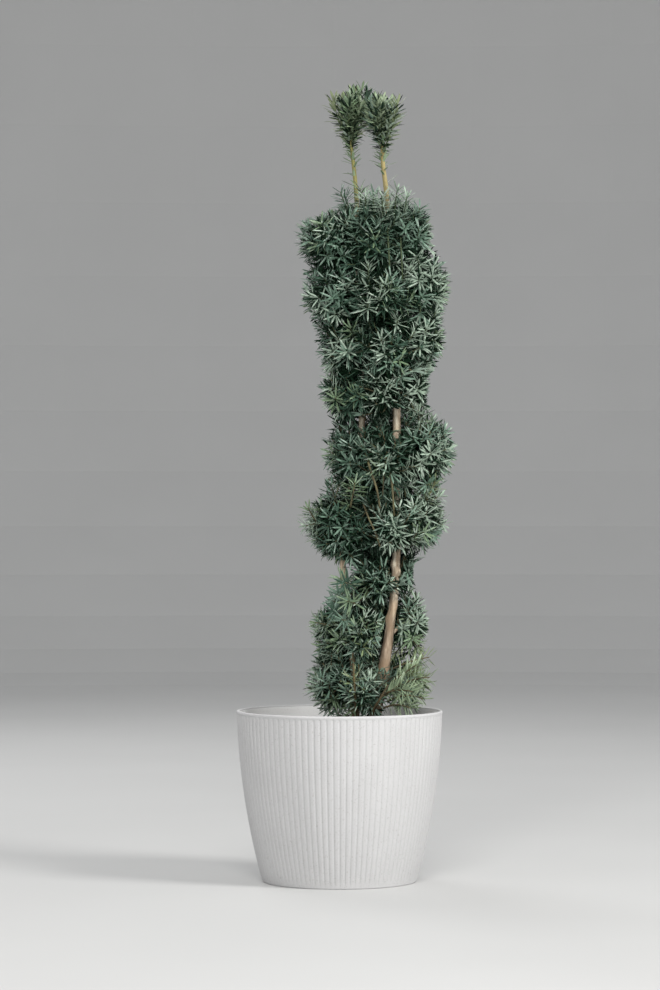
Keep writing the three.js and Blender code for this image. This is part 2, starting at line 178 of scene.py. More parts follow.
@dataclass
class Surface:
    """Corners in millimetres, faces as rows of corner numbers, and each face's material slot."""

    corners: Floats
    faces: list[Ints]
    slots: list[Ints]

    @staticmethod
    def joined(surfaces: Sequence["Surface"]) -> "Surface":
        """One surface that holds several, each with its own corners."""
        starts = np.cumsum([0] + [len(s.corners) for s in surfaces])
        faces = [f + start for s, start in zip(surfaces, starts) for f in s.faces]
        slots = [slot for s in surfaces for slot in s.slots]
        return Surface(np.vstack([s.corners for s in surfaces]), faces, slots)

    def piece(
        self, name: str, materials: Sequence[bpy.types.Material], smooth: bool = True
    ) -> bpy.types.Object:
        """Makes the surface an object at the origin, in metres.

        Args:
            name: Of the object.
            materials: In the order of the faces' slots.
            smooth: Whether light runs smoothly from face to face.

        Returns:
            The object, linked to the scene.
        """
        corner_counts = np.concatenate([np.full(len(f), f.shape[1]) for f in self.faces])
        loops = np.concatenate([f.ravel() for f in self.faces])
        mesh = bpy.data.meshes.new(name)
        mesh.vertices.add(len(self.corners))
        mesh.vertices.foreach_set("co", (self.corners * MM).astype(np.float32).ravel())
        mesh.loops.add(len(loops))
        mesh.loops.foreach_set("vertex_index", loops.astype(np.int32))
        mesh.polygons.add(len(corner_counts))
        starts = np.cumsum(corner_counts) - corner_counts
        mesh.polygons.foreach_set("loop_start", starts.astype(np.int32))
        mesh.polygons.foreach_set("use_smooth", np.full(len(corner_counts), smooth))
        for material in materials:
            mesh.materials.append(material)
        mesh.polygons.foreach_set("material_index", np.concatenate(self.slots).astype(np.int32))
        mesh.update(calc_edges=True)
        made = bpy.data.objects.new(name, mesh)
        bpy.context.scene.collection.objects.link(made)
        return made


def tubes(lines: Floats, radii: Floats, blunt: float = 0.7) -> Surface:
    """Closed tubes: each ring is the line's point plus radius × (cos u × across + sin u × beside).

    Args:
        lines: Tubes × rings × 3, the points that the tubes follow.
        radii: Tubes × rings × sides, so that a tube may be fluted.
        blunt: How far the far pole stands beyond the last ring, in radii.

    Returns:
        One surface with every tube.
    """
    count, rings, sides = radii.shape
    along = unit(np.gradient(lines, axis=1))
    steep = np.abs(along.mean(axis=1)[:, 2:]) > 0.6
    guide = np.where(steep, [[1.0, 0.0, 0.0]], [[0.0, 0.0, 1.0]])[:, None, :]
    across = unit(guide - (guide * along).sum(-1, keepdims=True) * along)
    beside = np.cross(along, across)
    angle = angles_round(sides)
    way = across[:, :, None] * np.cos(angle)[:, None] + beside[:, :, None] * np.sin(angle)[:, None]
    skin = (lines[:, :, None] + way * radii[..., None]).reshape(count, rings * sides, 3)
    far = lines[:, -1:] + along[:, -1:] * radii[:, -1:, :1] * blunt
    corners = np.concatenate([skin, lines[:, :1], far], axis=1)
    pole = rings * sides
    start = (np.arange(count) * corners.shape[1])[:, None, None]
    quads = (start + grid_quads(rings, sides)).reshape(-1, 4)
    caps = (start + pole_caps(sides, 0, pole - sides, pole, pole + 1)).reshape(-1, 3)
    slots = [np.zeros(len(faces), int) for faces in (quads, caps)]
    return Surface(corners.reshape(-1, 3), [quads, caps], slots)


def tapered(count: int, rings: int, thick: float, thin: float, sides: int) -> Floats:
    """Radii of so many equal round tubes that narrow from thick to thin: tubes × rings × sides."""
    return np.broadcast_to(np.linspace(thick, thin, rings)[None, :, None], (count, rings, sides))


def turned(radius: Floats, height: Floats, slots: Ints | None = None) -> Surface:
    """A closed shape turned about Z: ring r stands at height r with a radius for every angle.

    Args:
        radius: Rings × columns. The first and last rings are closed by a pole on the axis.
        height: One for each ring.
        slots: Material slot of the faces between each ring and the next.

    Returns:
        The surface, facing outwards where the rings rise outside and fall inside.
    """
    rings, columns = radius.shape
    angle = angles_round(columns)
    high = np.broadcast_to(height[:, None], radius.shape)
    skin = np.stack([radius * np.cos(angle), radius * np.sin(angle), high], axis=-1).reshape(-1, 3)
    corners = np.vstack([skin, [0, 0, height[0]], [0, 0, height[-1]]])
    pole = rings * columns
    caps = pole_caps(columns, 0, pole - columns, pole, pole + 1)
    bands = np.zeros(rings - 1, int) if slots is None else slots
    ends = np.repeat([bands[0], bands[-1]], columns)
    return Surface(corners, [grid_quads(rings, columns), caps], [np.repeat(bands, columns), ends])


# ---------------------------------------------------------------- shader maths


class Value:
    """A number in a material's nodes. Python's operators add the Math nodes."""

    def __init__(self, recipe: "Recipe", socket: bpy.types.NodeSocket) -> None:
        """Wraps a socket of a recipe."""
        self.recipe = recipe
        self.socket = socket

    def _math(self, operation: str, *terms: Any) -> "Value":
        """A Math node over the terms."""
        made = self.recipe.node("ShaderNodeMath", {"operation": operation}, dict(enumerate(terms)))
        return Value(self.recipe, made.outputs[0])

    def __add__(self, other: Any) -> "Value":
        """self + other."""
        return self._math("ADD", self, other)

    __radd__ = __add__

    def __mul__(self, other: Any) -> "Value":
        """self × other."""
        return self._math("MULTIPLY", self, other)

    __rmul__ = __mul__

    def between(self, low: float, high: float) -> "Value":
        """0 at low, 1 at high, held at both ends."""
        settings = {"interpolation_type": "SMOOTHSTEP"}
        terms = {"Value": self, "From Min": low, "From Max": high}
        made = self.recipe.node("ShaderNodeMapRange", settings, terms)
        return Value(self.recipe, made.outputs[0])


class Recipe:
    """The nodes of one material, round a Principled shader."""

    def __init__(self, name: str) -> None:
        """Starts a material that holds only its output and shader."""
        self.material = bpy.data.materials.new(name)
        self.material.use_nodes = True
        self.tree = self.material.node_tree
        self.tree.nodes.clear()
        self.shader = self.node("ShaderNodeBsdfPrincipled")
        self.node("ShaderNodeOutputMaterial", None, {"Surface": self.shader.outputs[0]})

    def node(
        self,
        kind: str,
        settings: Mapping[str, Any] | None = None,
        inputs: Mapping[Any, Any] | None = None,
    ) -> bpy.types.Node:
        """Adds a node.

        Args:
            kind: The node's type name.
            settings: Its options, set first.
            inputs: Values, sockets or wrapped numbers, by the socket's name or place.

        Returns:
            The node.
        """
        made = self.tree.nodes.new(kind)
        for option, choice in (settings or {}).items():
            setattr(made, option, choice)
        self.feed(made, inputs or {})
        return made

    def feed(self, node: bpy.types.Node, inputs: Mapping[Any, Any]) -> None:
        """Sets or links a node's inputs."""
        for place, given in inputs.items():
            source = given.socket if isinstance(given, Value) else given
            if isinstance(source, bpy.types.NodeSocket):
                self.tree.links.new(source, node.inputs[place])
            elif isinstance(source, tuple) and len(source) == 3 and node.inputs[place].type == "RGBA":
                node.inputs[place].default_value = (*source, 1.0)
            else:
                node.inputs[place].default_value = source

    def place(self, stretch: Triple = (1, 1, 1)) -> bpy.types.NodeSocket:
        """Object coordinates in metres, stretched along each axis."""
        where = self.node("ShaderNodeTexCoord").outputs["Object"]
        return self.node("ShaderNodeMapping", None, {"Vector": where, "Scale": stretch}).outputs[0]

    def height(self) -> Value:
        """The height above the floor, in metres."""
        where = self.node("ShaderNodeTexCoord").outputs["Object"]
        return Value(self, self.node("ShaderNodeSeparateXYZ", None, {0: where}).outputs["Z"])

    def noise(self, per_metre: float, detail: float, stretch: Triple = (1, 1, 1)) -> Value:
        """Cloudy noise of about so many patches to a metre."""
        terms = {"Vector": self.place(stretch), "Scale": per_metre, "Detail": detail}
        return Value(self, self.node("ShaderNodeTexNoise", None, terms).outputs["Fac"])

    def mixed(self, share: Any, first: Any, second: Any) -> bpy.types.NodeSocket:
        """A colour between two others."""
        made = self.node("ShaderNodeMix", {"data_type": "RGBA"}, {0: share, 6: first, 7: second})
        return made.outputs[2]

    def relief(self, height: Value, depth_mm: float) -> None:
        """Gives the shader a bump whose full height is a depth in millimetres."""
        terms = {"Height": height, "Distance": depth_mm * MM, "Strength": 1.0}
        self.feed(self.shader, {"Normal": self.node("ShaderNodeBump", None, terms).outputs[0]})

    def finish(self, **inputs: Any) -> bpy.types.Material:
        """Feeds the shader's sockets, underscores standing for spaces, and returns the material."""
        self.feed(self.shader, {name.replace("_", " "): given for name, given in inputs.items()})
        return self.material


# ---------------------------------------------------------------- finishes


def times(colour: Colour, share: float | Colour) -> Colour:
    """A colour multiplied by one share or by a share for each part, held to 1."""
    return tuple(min(1.0, float(part)) for part in np.array(colour) * share)


@dataclass(frozen=True)
class FleckedPlastic:
    """Matte off-white plastic with fine grey-brown flecks moulded in."""

    name: str = "flecked_plastic"
    body: Colour = (0.602, 0.60, 0.604)
    shade: Colour = (0.577, 0.575, 0.579)
    fleck: Colour = (0.28, 0.26, 0.24)
    clouds_per_metre: float = 35
    flecks_per_metre: float = 750
    fleck_strength: float = 0.32
    dust_per_metre: float = 1900
    dust_strength: float = 0.2
    grains_per_metre: float = 1400
    grain_depth: float = 0.08
    smears_per_metre: float = 220

    def material(self) -> bpy.types.Material:
        """The plastic's material."""
        recipe = Recipe(self.name)
        cloud = recipe.noise(self.clouds_per_metre, 4).between(0.3, 0.7)
        specks = recipe.noise(self.flecks_per_metre, 1).between(0.62, 0.72)
        dust = recipe.noise(self.dust_per_metre, 0).between(0.66, 0.78)
        body = recipe.mixed(cloud, self.body, self.shade)
        marks = specks * self.fleck_strength + dust * self.dust_strength
        colour = recipe.mixed(marks, body, self.fleck)
        recipe.relief(recipe.noise(self.grains_per_metre, 2), self.grain_depth)
        roughness = 0.52 + recipe.noise(self.smears_per_metre, 2) * 0.16
        return recipe.finish(Base_Color=colour, Roughness=roughness, Specular_IOR_Level=0.4)


@dataclass(frozen=True)
class Bark:
    """Thin bark: pinkish brown with darker shreds, turning yellow-green on the young wood."""

    name: str
    old: Colour = (0.63, 0.50, 0.34)
    pale: Colour = (0.90, 0.82, 0.66)
    crack: Colour = (0.36, 0.25, 0.165)
    young: Colour = (0.30, 0.245, 0.105)
    foot_share: Colour = (0.74, 0.62, 0.56)
    foot_from: float = 0.30
    foot_to: float = 0.19
    young_from: float = 0.56
    young_to: float = 0.66
    young_light: float = 1.35
    shreds_per_metre: float = 260
    patches_per_metre: float = 70
    rings_per_metre: float = 420
    crack_strength: float = 0.75
    relief_depth: float = 0.5

    def material(self) -> bpy.types.Material:
        """The bark's material."""
        recipe = Recipe(self.name)
        shreds = recipe.noise(self.shreds_per_metre, 5, (1, 1, 0.16))
        patches = recipe.noise(self.patches_per_metre, 3, (1, 1, 0.45)).between(0.35, 0.65)
        rings = recipe.noise(self.rings_per_metre, 2, (0.25, 0.25, 1)).between(0.5, 0.75)
        foot_old, foot_pale = (times(colour, self.foot_share) for colour in (self.old, self.pale))
        foot = recipe.height().between(self.foot_from, self.foot_to)
        above = recipe.mixed(patches, self.old, self.pale)
        wood = recipe.mixed(foot, above, recipe.mixed(patches, foot_old, foot_pale))
        wood = recipe.mixed(shreds.between(0.62, 0.42) * self.crack_strength, wood, self.crack)
        age = recipe.height().between(self.young_from, self.young_to)
        young = recipe.mixed(shreds, self.young, times(self.young, self.young_light))
        colour = recipe.mixed(age, wood, young)
        recipe.relief(shreds * 0.8 + rings * 0.2, self.relief_depth)
        return recipe.finish(Base_Color=colour, Roughness=0.72 + shreds * 0.2)


@dataclass(frozen=True)
class Soil:
    """Dark, crumbly compost."""

    name: str
    dark: Colour
    light: Colour
    grains_per_metre: float = 420
    relief_depth: float = 0.9

    def material(self) -> bpy.types.Material:
        """The compost's material."""
        recipe = Recipe(self.name)
        grain = recipe.noise(self.grains_per_metre, 5)
        colour = recipe.mixed(grain.between(0.35, 0.7), self.dark, self.light)
        recipe.relief(grain, self.relief_depth)
        return recipe.finish(Base_Color=colour, Roughness=0.85 + grain * 0.12)


class Tint(Enum):
    """Colours that a spray's needles come in: the upper side and the paler underside. SHADED is near-black
    painted shade for needles in the gaps, and DEEP is a deep green that also serves as painted shade deep
    inside a mass.
    """

    # Painted shade: a near-black tint for needles that stand in the shaded gaps.
    SHADED = ((0.007, 0.020, 0.010), (0.018, 0.038, 0.023))
    DEEP = ((0.044, 0.090, 0.060), (0.098, 0.160, 0.115))
    BLUE = ((0.126, 0.210, 0.152), (0.200, 0.282, 0.222))
    FRESH = ((0.162, 0.242, 0.137), (0.228, 0.308, 0.184))
    OLIVE = ((0.196, 0.255, 0.122), (0.263, 0.316, 0.174))
    PALE = ((0.282, 0.370, 0.286), (0.355, 0.435, 0.353))
    SPRAY = ((0.275, 0.360, 0.220), (0.335, 0.415, 0.270))

    @property
    def slot(self) -> int:
        """The tint's place among the tints, from 0."""
        return list(Tint).index(self)


@dataclass(frozen=True)
class Needle:
    """The skin of one side of a needle: waxy, in one of the sprays' tints."""

    name: str
    colour: Colour
    roughness: float
    shine: float
    dim_and_bright: Pair = (0.8, 1.25)
    patches_per_metre: float = 160
    wax_per_metre: float = 500

    def material(self) -> bpy.types.Material:
        """The needle's material. Its colour varies a little from needle to needle."""
        recipe = Recipe(self.name)
        patch = recipe.noise(self.patches_per_metre, 1).between(0.3, 0.7)
        dim, bright = (times(self.colour, share) for share in self.dim_and_bright)
        wax = self.roughness + 0.12 * recipe.noise(self.wax_per_metre, 1)
        colour = recipe.mixed(patch, dim, bright)
        return recipe.finish(Base_Color=colour, Roughness=wax, Specular_IOR_Level=self.shine)


def needle_materials() -> list[bpy.types.Material]:
    """The upper side and the underside of every tint, in the order of the needles' slots."""
    made = []
    for tint in Tint:
        # Painted shade: the near-black SHADED needles get almost no shine, so they show no reflection, and
        # the DEEP ones little.
        shine = {Tint.SHADED: 0.08, Tint.DEEP: 0.3}.get(tint, 0.8)
        for side, colour, roughness in zip(("upper", "under"), tint.value, (0.36, 0.5)):
            made.append(Needle(f"needle_{tint.name.lower()}_{side}", colour, roughness, shine).material())
    return made


# ---------------------------------------------------------------- limbs


@dataclass(frozen=True)
class Limb:
    """A stem or bough: a smooth line through stations of x, y, height and radius."""

    stations: tuple[Station, ...]
    knot_spacing: float = 38
    young_from: float = 596
    young_to: float = 640

    @staticmethod
    def through(points: Sequence[Floats], radii: Sequence[float]) -> "Limb":
        """The limb through points, with a radius at each."""
        return Limb(tuple((*point, radius) for point, radius in zip(points, radii)))

    def points(self, shares: Floats) -> Floats:
        """Points of the centripetal Catmull-Rom curve through the stations.

        Between two stations the curve is the cubic whose slopes at them come from the neighbouring
        spans, each span's time being the square root of its length.

        Args:
            shares: From 0 at the first station to 1 at the last, each span having an equal part.

        Returns:
            A point for each share.
        """
        knots = np.array(self.stations)[:, :3]
        ends = np.vstack([2 * knots[0] - knots[1], knots, 2 * knots[-1] - knots[-2]])
        place = np.clip(shares, 0, 1) * (len(knots) - 1)
        span = np.minimum(place.astype(int), len(knots) - 2)
        u = (place - span)[:, None]
        p0, p1, p2, p3 = (ends[span + k] for k in range(4))
        g0, g1, g2 = (
            np.sqrt(np.linalg.norm(b - a, axis=1))[:, None] for a, b in ((p0, p1), (p1, p2), (p2, p3))
        )
        start = ((p1 - p0) / g0 - (p2 - p0) / (g0 + g1) + (p2 - p1) / g1) * g1
        end = ((p2 - p1) / g1 - (p3 - p1) / (g1 + g2) + (p3 - p2) / g2) * g1
        square, cube = u**2, u**3
        return (
            p1 + start * u + (3 * (p2 - p1) - 2 * start - end) * square + (2 * (p1 - p2) + start + end) * cube
        )

    def radius(self, shares: Floats) -> Floats:
        """The radius at each share, straight between stations."""
        radii = np.array(self.stations)[:, 3]
        return np.interp(shares * (len(radii) - 1), np.arange(len(radii)), radii)

    def at_height(self, height: Any) -> Floats:
        """The line's x, y and z at a height, or an array of each for an array of heights."""
        line = self.points(np.linspace(0, 1, 200))
        return np.array([np.interp(height, line[:, 2], line[:, axis]) for axis in range(3)])

    def distance(self, points: Floats) -> Floats:
        """Distance from each point, along the last axis, to the limb's bark."""
        shares = np.linspace(0, 1, 4 * len(self.stations))
        line, radius = self.points(shares), self.radius(shares)
        start, step = line[:-1], np.diff(line, axis=0)
        offset = points[..., None, :] - start
        part = np.clip((offset * step).sum(-1) / (step * step).sum(-1), 0, 1)
        gap = np.linalg.norm(offset - part[..., None] * step, axis=-1)
        return (gap - radius[:-1] - part * np.diff(radius)).min(axis=-1)

    def bark(self, rings: int, sides: int, shred: float, rng: Random) -> Surface:
        """The limb with its bark's relief, as a tube.

        The radius is swelled by slow flutes, cut by wandering lengthwise cracks, and raised by
        rounded knots where twigs were cut off.

        Args:
            rings: Rings along the limb.
            sides: Corners round it.
            shred: Depth of the cracks, in millimetres.
            rng: Deals phases and knots.

        Returns:
            The closed tube.
        """
        shares = np.linspace(0, 1, rings)
        line, radius = self.points(shares), self.radius(shares)
        run = np.concatenate([[0], np.cumsum(np.linalg.norm(np.diff(line, axis=0), axis=1))])
        v, u = np.meshgrid(run, angles_round(sides), indexing="ij")
        girth = radius[:, None] + 0 * u
        a, b, c, d = rng.uniform(0, FULL_TURN, 4)
        flutes = 0.05 * np.sin(2 * u + 0.045 * v + a) + 0.035 * np.sin(3 * u - 0.07 * v + b)
        wander = 1.4 * np.sin(0.11 * v + u + c) + 0.6 * np.sin(0.31 * v - 2 * u + d)
        cracks = (1 - np.abs(np.sin(2.5 * u + 0.05 * v + wander))) ** 4
        fine = (1 - np.abs(np.sin(6 * u + 0.4 * np.sin(0.5 * v + a) + wander))) ** 3
        young = smoothstep(self.young_from, self.young_to, line[:, 2:])
        skin = girth * (1 + flutes - 0.13 * young) - (1 - 0.6 * young) * shred * (cracks + 0.4 * fine)
        knots = max(1, int(run[-1] / self.knot_spacing))
        for at, turn, size in zip(
            rng.uniform(0.06, 0.8, knots) * run[-1],
            rng.uniform(0, FULL_TURN, knots),
            rng.uniform(0.25, 0.5, knots),
        ):
            aside = np.abs((u - turn + math.pi) % FULL_TURN - math.pi) * girth
            spread = 0.5 * girth + 0.4
            skin = skin + size * girth * np.exp(-(aside**2 + ((v - at) * 0.8) ** 2) / (2 * spread**2))
        return tubes(line[None], skin[None])


class Side(Enum):
    """Which side of the trunk a mass of foliage is on."""

    LEFT = "left"
    FRONT = "front"
    RIGHT = "right"
    BACK = "back"
    TUFT = "tuft"


@dataclass(frozen=True)
class Tier:
    """A turn of the clipped foliage: its height, and how far its needle tips reach each way."""

    name: str
    height: float
    half: float
    left: float
    right: float
    front: float
    back: float
    front_x: float
    open_left: bool = False
    thin_right: float = 0.0
    short_left: float = 0.0


@dataclass
class Mass:
    """A clipped cushion of sprays round one stem."""

    tier: str
    side: Side
    centre: Floats
    reach: Floats
    thin: float = 0.0
    short: float = 0.0
    carrier: Limb | None = None
    bough: Limb | None = None
    stem: Limb | None = None
    plane_ways: Floats = field(default_factory=lambda: np.zeros((0, 3)))
    plane_points: Floats = field(default_factory=lambda: np.zeros((0, 3)))

    @property
    def node(self) -> str:
        """The name of the solid that stands for the mass."""
        if self.side is Side.TUFT:
            return f"foliage_{self.tier}"
        return f"foliage_{self.tier}_{self.side.value}"

    def span(self, ways: Floats) -> Floats:
        """How far the mass reaches from its centre in each direction."""
        return 1 / np.linalg.norm(ways / self.reach, axis=-1)

    def share(self, points: Floats) -> Floats:
        """Where points lie: 0 at the centre, 1 at the mass's reach."""
        return np.linalg.norm((points - self.centre) / self.reach, axis=-1)

    def past_planes(self, points: Floats) -> Floats:
        """How far each point stands across the nearest parting plane, below 0 on the mass's own side."""
        gaps = ((points[..., None, :] - self.plane_points) * self.plane_ways).sum(-1)
        return gaps.max(axis=-1)


@dataclass
class Planter:
    """A round planter: fine upright ribs under a plain rounded lip, on a parabola through three radii."""

    height: float = 158
    rim_radius: float = 95.2
    middle_radius: float = 88.2
    foot_radius: float = 71.6
    wall: float = 2.8
    floor: float = 4
    edge_round: float = 1.4
    lip_height: float = 2.8
    ribs: int = 100
    rib_depth: float = 0.6
    steps_per_rib: int = 11
    ribs_rise: Pair = (1.5, 7)
    ribs_fade: Pair = (0.2, 1.6)
    lip_overhang: float = 0.3
    lip_dome: float = 1.5
    rings_below_lip: Triple = (1.5, 0.9, 0.3)
    underside_rings: Pair = (20.0, 45.0)
    floor_rings: Pair = (50.0, 20.0)
    foot_rings: int = 5
    wall_rings: int = 34
    lip_rings: int = 9
    inner_rings: int = 12
    finish: FleckedPlastic = FleckedPlastic()
    # Painted light: the inside is a near-white copy of the plastic, to brighten the inner wall that the plant
    # shades.
    inside: FleckedPlastic = FleckedPlastic(
        "planter_inside", (0.95, 0.95, 0.95), (0.95, 0.95, 0.95), (0.7, 0.7, 0.69)
    )
    # Painted shade: a darker copy of the plastic for the faces down in the grooves.
    grooved: FleckedPlastic = FleckedPlastic("planter_groove", (0.557, 0.556, 0.558), (0.535, 0.534, 0.536))

    def outer(self, height: Any) -> Any:
        """The outer radius: a(1-s)(1-2s) + 4b·s(1-s) + c·s(2s-1), s being the share of the height."""
        share = height / self.height
        foot = self.foot_radius * (1 - share) * (1 - 2 * share)
        middle = self.middle_radius * 4 * share * (1 - share)
        return foot + middle + self.rim_radius * share * (2 * share - 1)

    def profile(self) -> tuple[Floats, Floats, Floats]:
        """The wall's section from the underside's middle, up the outside, over the lip and down inside.

        Returns:
            Radius and height of each ring, and how deep its ribs are, from 0 to 1.
        """
        edge, lip = self.edge_round, self.height - self.lip_height
        turn = np.linspace(0, math.pi / 2, self.foot_rings)
        foot_r = self.foot_radius - edge + edge * np.sin(turn)
        foot_z = edge - edge * np.cos(turn)
        first, *others = (lip - below for below in self.rings_below_lip)
        wall_z = np.concatenate([np.linspace(edge, first, self.wall_rings)[1:], others])
        step_z = lip + np.array([0.1, 0.6])
        step_out = self.lip_overhang * np.array([0.5, 1])
        round_ = np.linspace(0, math.pi, self.lip_rings)
        half = self.wall / 2 + self.lip_overhang / 2
        top_r = self.rim_radius - half + self.lip_overhang + half * np.cos(round_)
        top_z = self.height - self.lip_dome + self.lip_dome * np.sin(round_)
        inner_z = np.linspace(self.height - 5, self.floor, self.inner_rings)
        flat = np.array([*self.underside_rings, self.foot_radius - edge - 2])
        radius = [flat, foot_r, self.outer(wall_z), self.outer(step_z) + step_out, top_r]
        radius += [self.outer(inner_z) - self.wall, self.floor_rings]
        height = [0 * flat, foot_z, wall_z, step_z, top_z, inner_z, [self.floor, self.floor]]
        fade_end, fade_start = self.ribs_fade
        ribbed = smoothstep(*self.ribs_rise, wall_z) * smoothstep(lip - fade_end, lip - fade_start, wall_z)
        depth = [0 * flat, 0 * foot_r, ribbed, [0, 0], 0 * top_z, 0 * inner_z, [0, 0]]
        return np.concatenate(radius), np.concatenate(height), np.concatenate(depth)

    def build(self) -> bpy.types.Object:
        """The planter. A rib is half a wave out, with a narrow groove between it and the next, whose faces
        take a darker plastic as painted shade.
        """
        radius, height, depth = self.profile()
        columns = self.ribs * self.steps_per_rib
        phase = np.arange(columns) * math.pi / self.steps_per_rib
        groove = (1 - np.abs(np.sin(phase))) ** 2
        below_lip = (np.arange(len(radius) - 1) > int(np.argmax(height)) + 3).astype(int)
        surface = turned(radius[:, None] - self.rib_depth * depth[:, None] * groove, height, below_lip)
        finishes = (self.finish, self.inside, self.grooved)
        # The faces in a groove get the darker plastic: painted shade.
        groove_shade_faces = (groove + np.roll(groove, -1) > 1.2) & (depth[:-1, None] > 0.5)
        surface.slots[0] = np.where(groove_shade_faces.ravel(), finishes.index(self.grooved), surface.slots[0])
        made = surface.piece("planter_shell", [finish.material() for finish in finishes])
        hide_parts("planter")
        return made


@dataclass
class Compost:
    """Compost in the planter: a bumpy bed with crumbs, chips and a little grit lying on it."""

    planter: Planter
    top: float = 138
    gap: float = 1.2
    floor_gap: float = 0.4
    edge_gap: float = 0.4
    underside_ring: float = 30
    settled: float = 0.6
    bumps: tuple[Pair, ...] = ((46, 1.1), (15, 0.6), (5, 0.35))
    columns: int = 180
    wall_rings: int = 8
    top_rings: int = 46
    crumbs: int = 2600
    crumb_sizes: Pair = (0.8, 2.6)
    crumb_stretch: Pair = (0.5, 1.2)
    corner_stretch: Pair = (0.7, 1.2)
    crumb_flatness: float = 0.7
    rim_gap: float = 3.5
    soils: tuple[Soil, ...] = (
        Soil("compost_dark", (0.016, 0.011, 0.008), (0.060, 0.040, 0.026)),
        Soil("compost_chips", (0.075, 0.042, 0.024), (0.16, 0.095, 0.055)),
        Soil("compost_grit", (0.32, 0.30, 0.27), (0.48, 0.46, 0.42)),
    )
    soil_shares: tuple[float, ...] = (0.62, 0.33, 0.05)
    seed: int = 5

    def surface_height(self, places: Floats) -> Floats:
        """The bed's height over each x, y: its level plus ripples of several lengths and heights."""
        rng = np.random.default_rng(self.seed)
        level = self.top - self.settled
        for wavelength, height in self.bumps:
            level = level + height * ripples(places, wavelength, 9, rng)
        return level

    def bed(self) -> Surface:
        """The bed, a turned body whose top rings are raised to the bed's height."""
        foot = self.planter.floor + self.floor_gap
        outside = np.linspace(foot, self.top - 4, self.wall_rings)
        edge = float(self.planter.outer(self.top)) - self.planter.wall - self.edge_gap
        wall = self.planter.outer(outside) - self.planter.wall - self.gap
        inwards = np.linspace(edge, 2, self.top_rings)
        radius = np.concatenate([[self.underside_ring], wall, inwards])
        height = np.concatenate([[foot], outside, np.full(self.top_rings, self.top)])
        made = turned(np.repeat(radius[:, None], self.columns, axis=1), height)
        raised = made.corners[:, 2] > self.top - 1
        made.corners[raised, 2] = self.surface_height(made.corners[raised, :2])
        return made

    def scattered(self) -> Surface:
        """Crumbs: twelve-cornered lumps, each corner moved in or out, lying half sunk in the bed."""
        rng = np.random.default_rng(self.seed + 1)
        ball, faces = icosahedron()
        far = float(self.planter.outer(self.top)) - self.planter.wall - self.rim_gap
        distance = far * np.sqrt(rng.uniform(0, 1, self.crumbs))
        angle = rng.uniform(0, FULL_TURN, self.crumbs)
        places = np.column_stack([distance * np.cos(angle), distance * np.sin(angle)])
        size = rng.uniform(*self.crumb_sizes, (self.crumbs, 1, 1))
        size = size * rng.uniform(*self.crumb_stretch, (self.crumbs, 1, 3))
        lumps = ball[None] * rng.uniform(*self.corner_stretch, (self.crumbs, len(ball), 1)) * size
        turn = rng.uniform(0, FULL_TURN, (self.crumbs, 1))
        x, y = lumps[..., 0].copy(), lumps[..., 1].copy()
        lumps[..., 0] = x * np.cos(turn) - y * np.sin(turn)
        lumps[..., 1] = x * np.sin(turn) + y * np.cos(turn)
        lumps[..., :2] += places[:, None]
        lumps[..., 2] = lumps[..., 2] * self.crumb_flatness + self.surface_height(places)[:, None] + 0.2
        kind = rng.choice(len(self.soils), self.crumbs, p=self.soil_shares)
        numbered = (np.arange(self.crumbs) * len(ball))[:, None, None] + faces
        return Surface(lumps.reshape(-1, 3), [numbered.reshape(-1, 3)], [np.repeat(kind, len(faces))])

    def build(self) -> list[bpy.types.Object]:
        """The bed and what lies on it, as two pieces."""
        soils = [soil.material() for soil in self.soils]
        bed = self.bed().piece("compost_bed", soils[:1])
        loose = self.scattered().piece("compost_crumbs", soils, smooth=False)
        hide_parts("compost")
        return [bed, loose]


def icosahedron() -> tuple[Floats, Ints]:
    """The unit icosahedron: its corners are (0, ±1, ±golden ratio) with the three moved round in turn.

    Returns:
        Its twelve corners, and its faces: every three corners that are all one edge apart, turned to
        face out.
    """
    one, other = np.array([(a, b) for a in (-1, 1) for b in (-1, 1)], float).T
    upright = np.column_stack([np.zeros(4), one, other * GOLDEN_RATIO])
    corners = unit(np.vstack([np.roll(upright, -step, axis=1) for step in range(3)]))
    apart = np.linalg.norm(corners[:, None] - corners[None], axis=-1)
    near = np.abs(apart - apart[apart > 0.1].min()) < 1e-3
    a, b, c = np.nonzero(near[:, :, None] & near[None, :, :] & near[:, None, :])
    once = (a < b) & (b < c)
    faces = np.column_stack([a, b, c])[once]
    p, q, r = (corners[faces[:, k]] for k in range(3))
    inward = (np.cross(q - p, r - p) * p).sum(-1) < 0
    faces[inward] = faces[inward][:, ::-1]
    return corners, faces


# ---------------------------------------------------------------- foliage


@dataclass(frozen=True)
class Rows:
    """Many things of one kind as arrays, with a row for each of them in every array."""

    def kept(self, mask: Mask) -> Self:
        """The things that a mask keeps."""
        return type(self)(*(getattr(self, name)[mask] for name in self.__dataclass_fields__))

    @classmethod
    def joined(cls, parts: Sequence[Self]) -> Self:
        """Several sets as one."""
        names = cls.__dataclass_fields__
        return cls(*(np.concatenate([getattr(part, name) for part in parts]) for name in names))


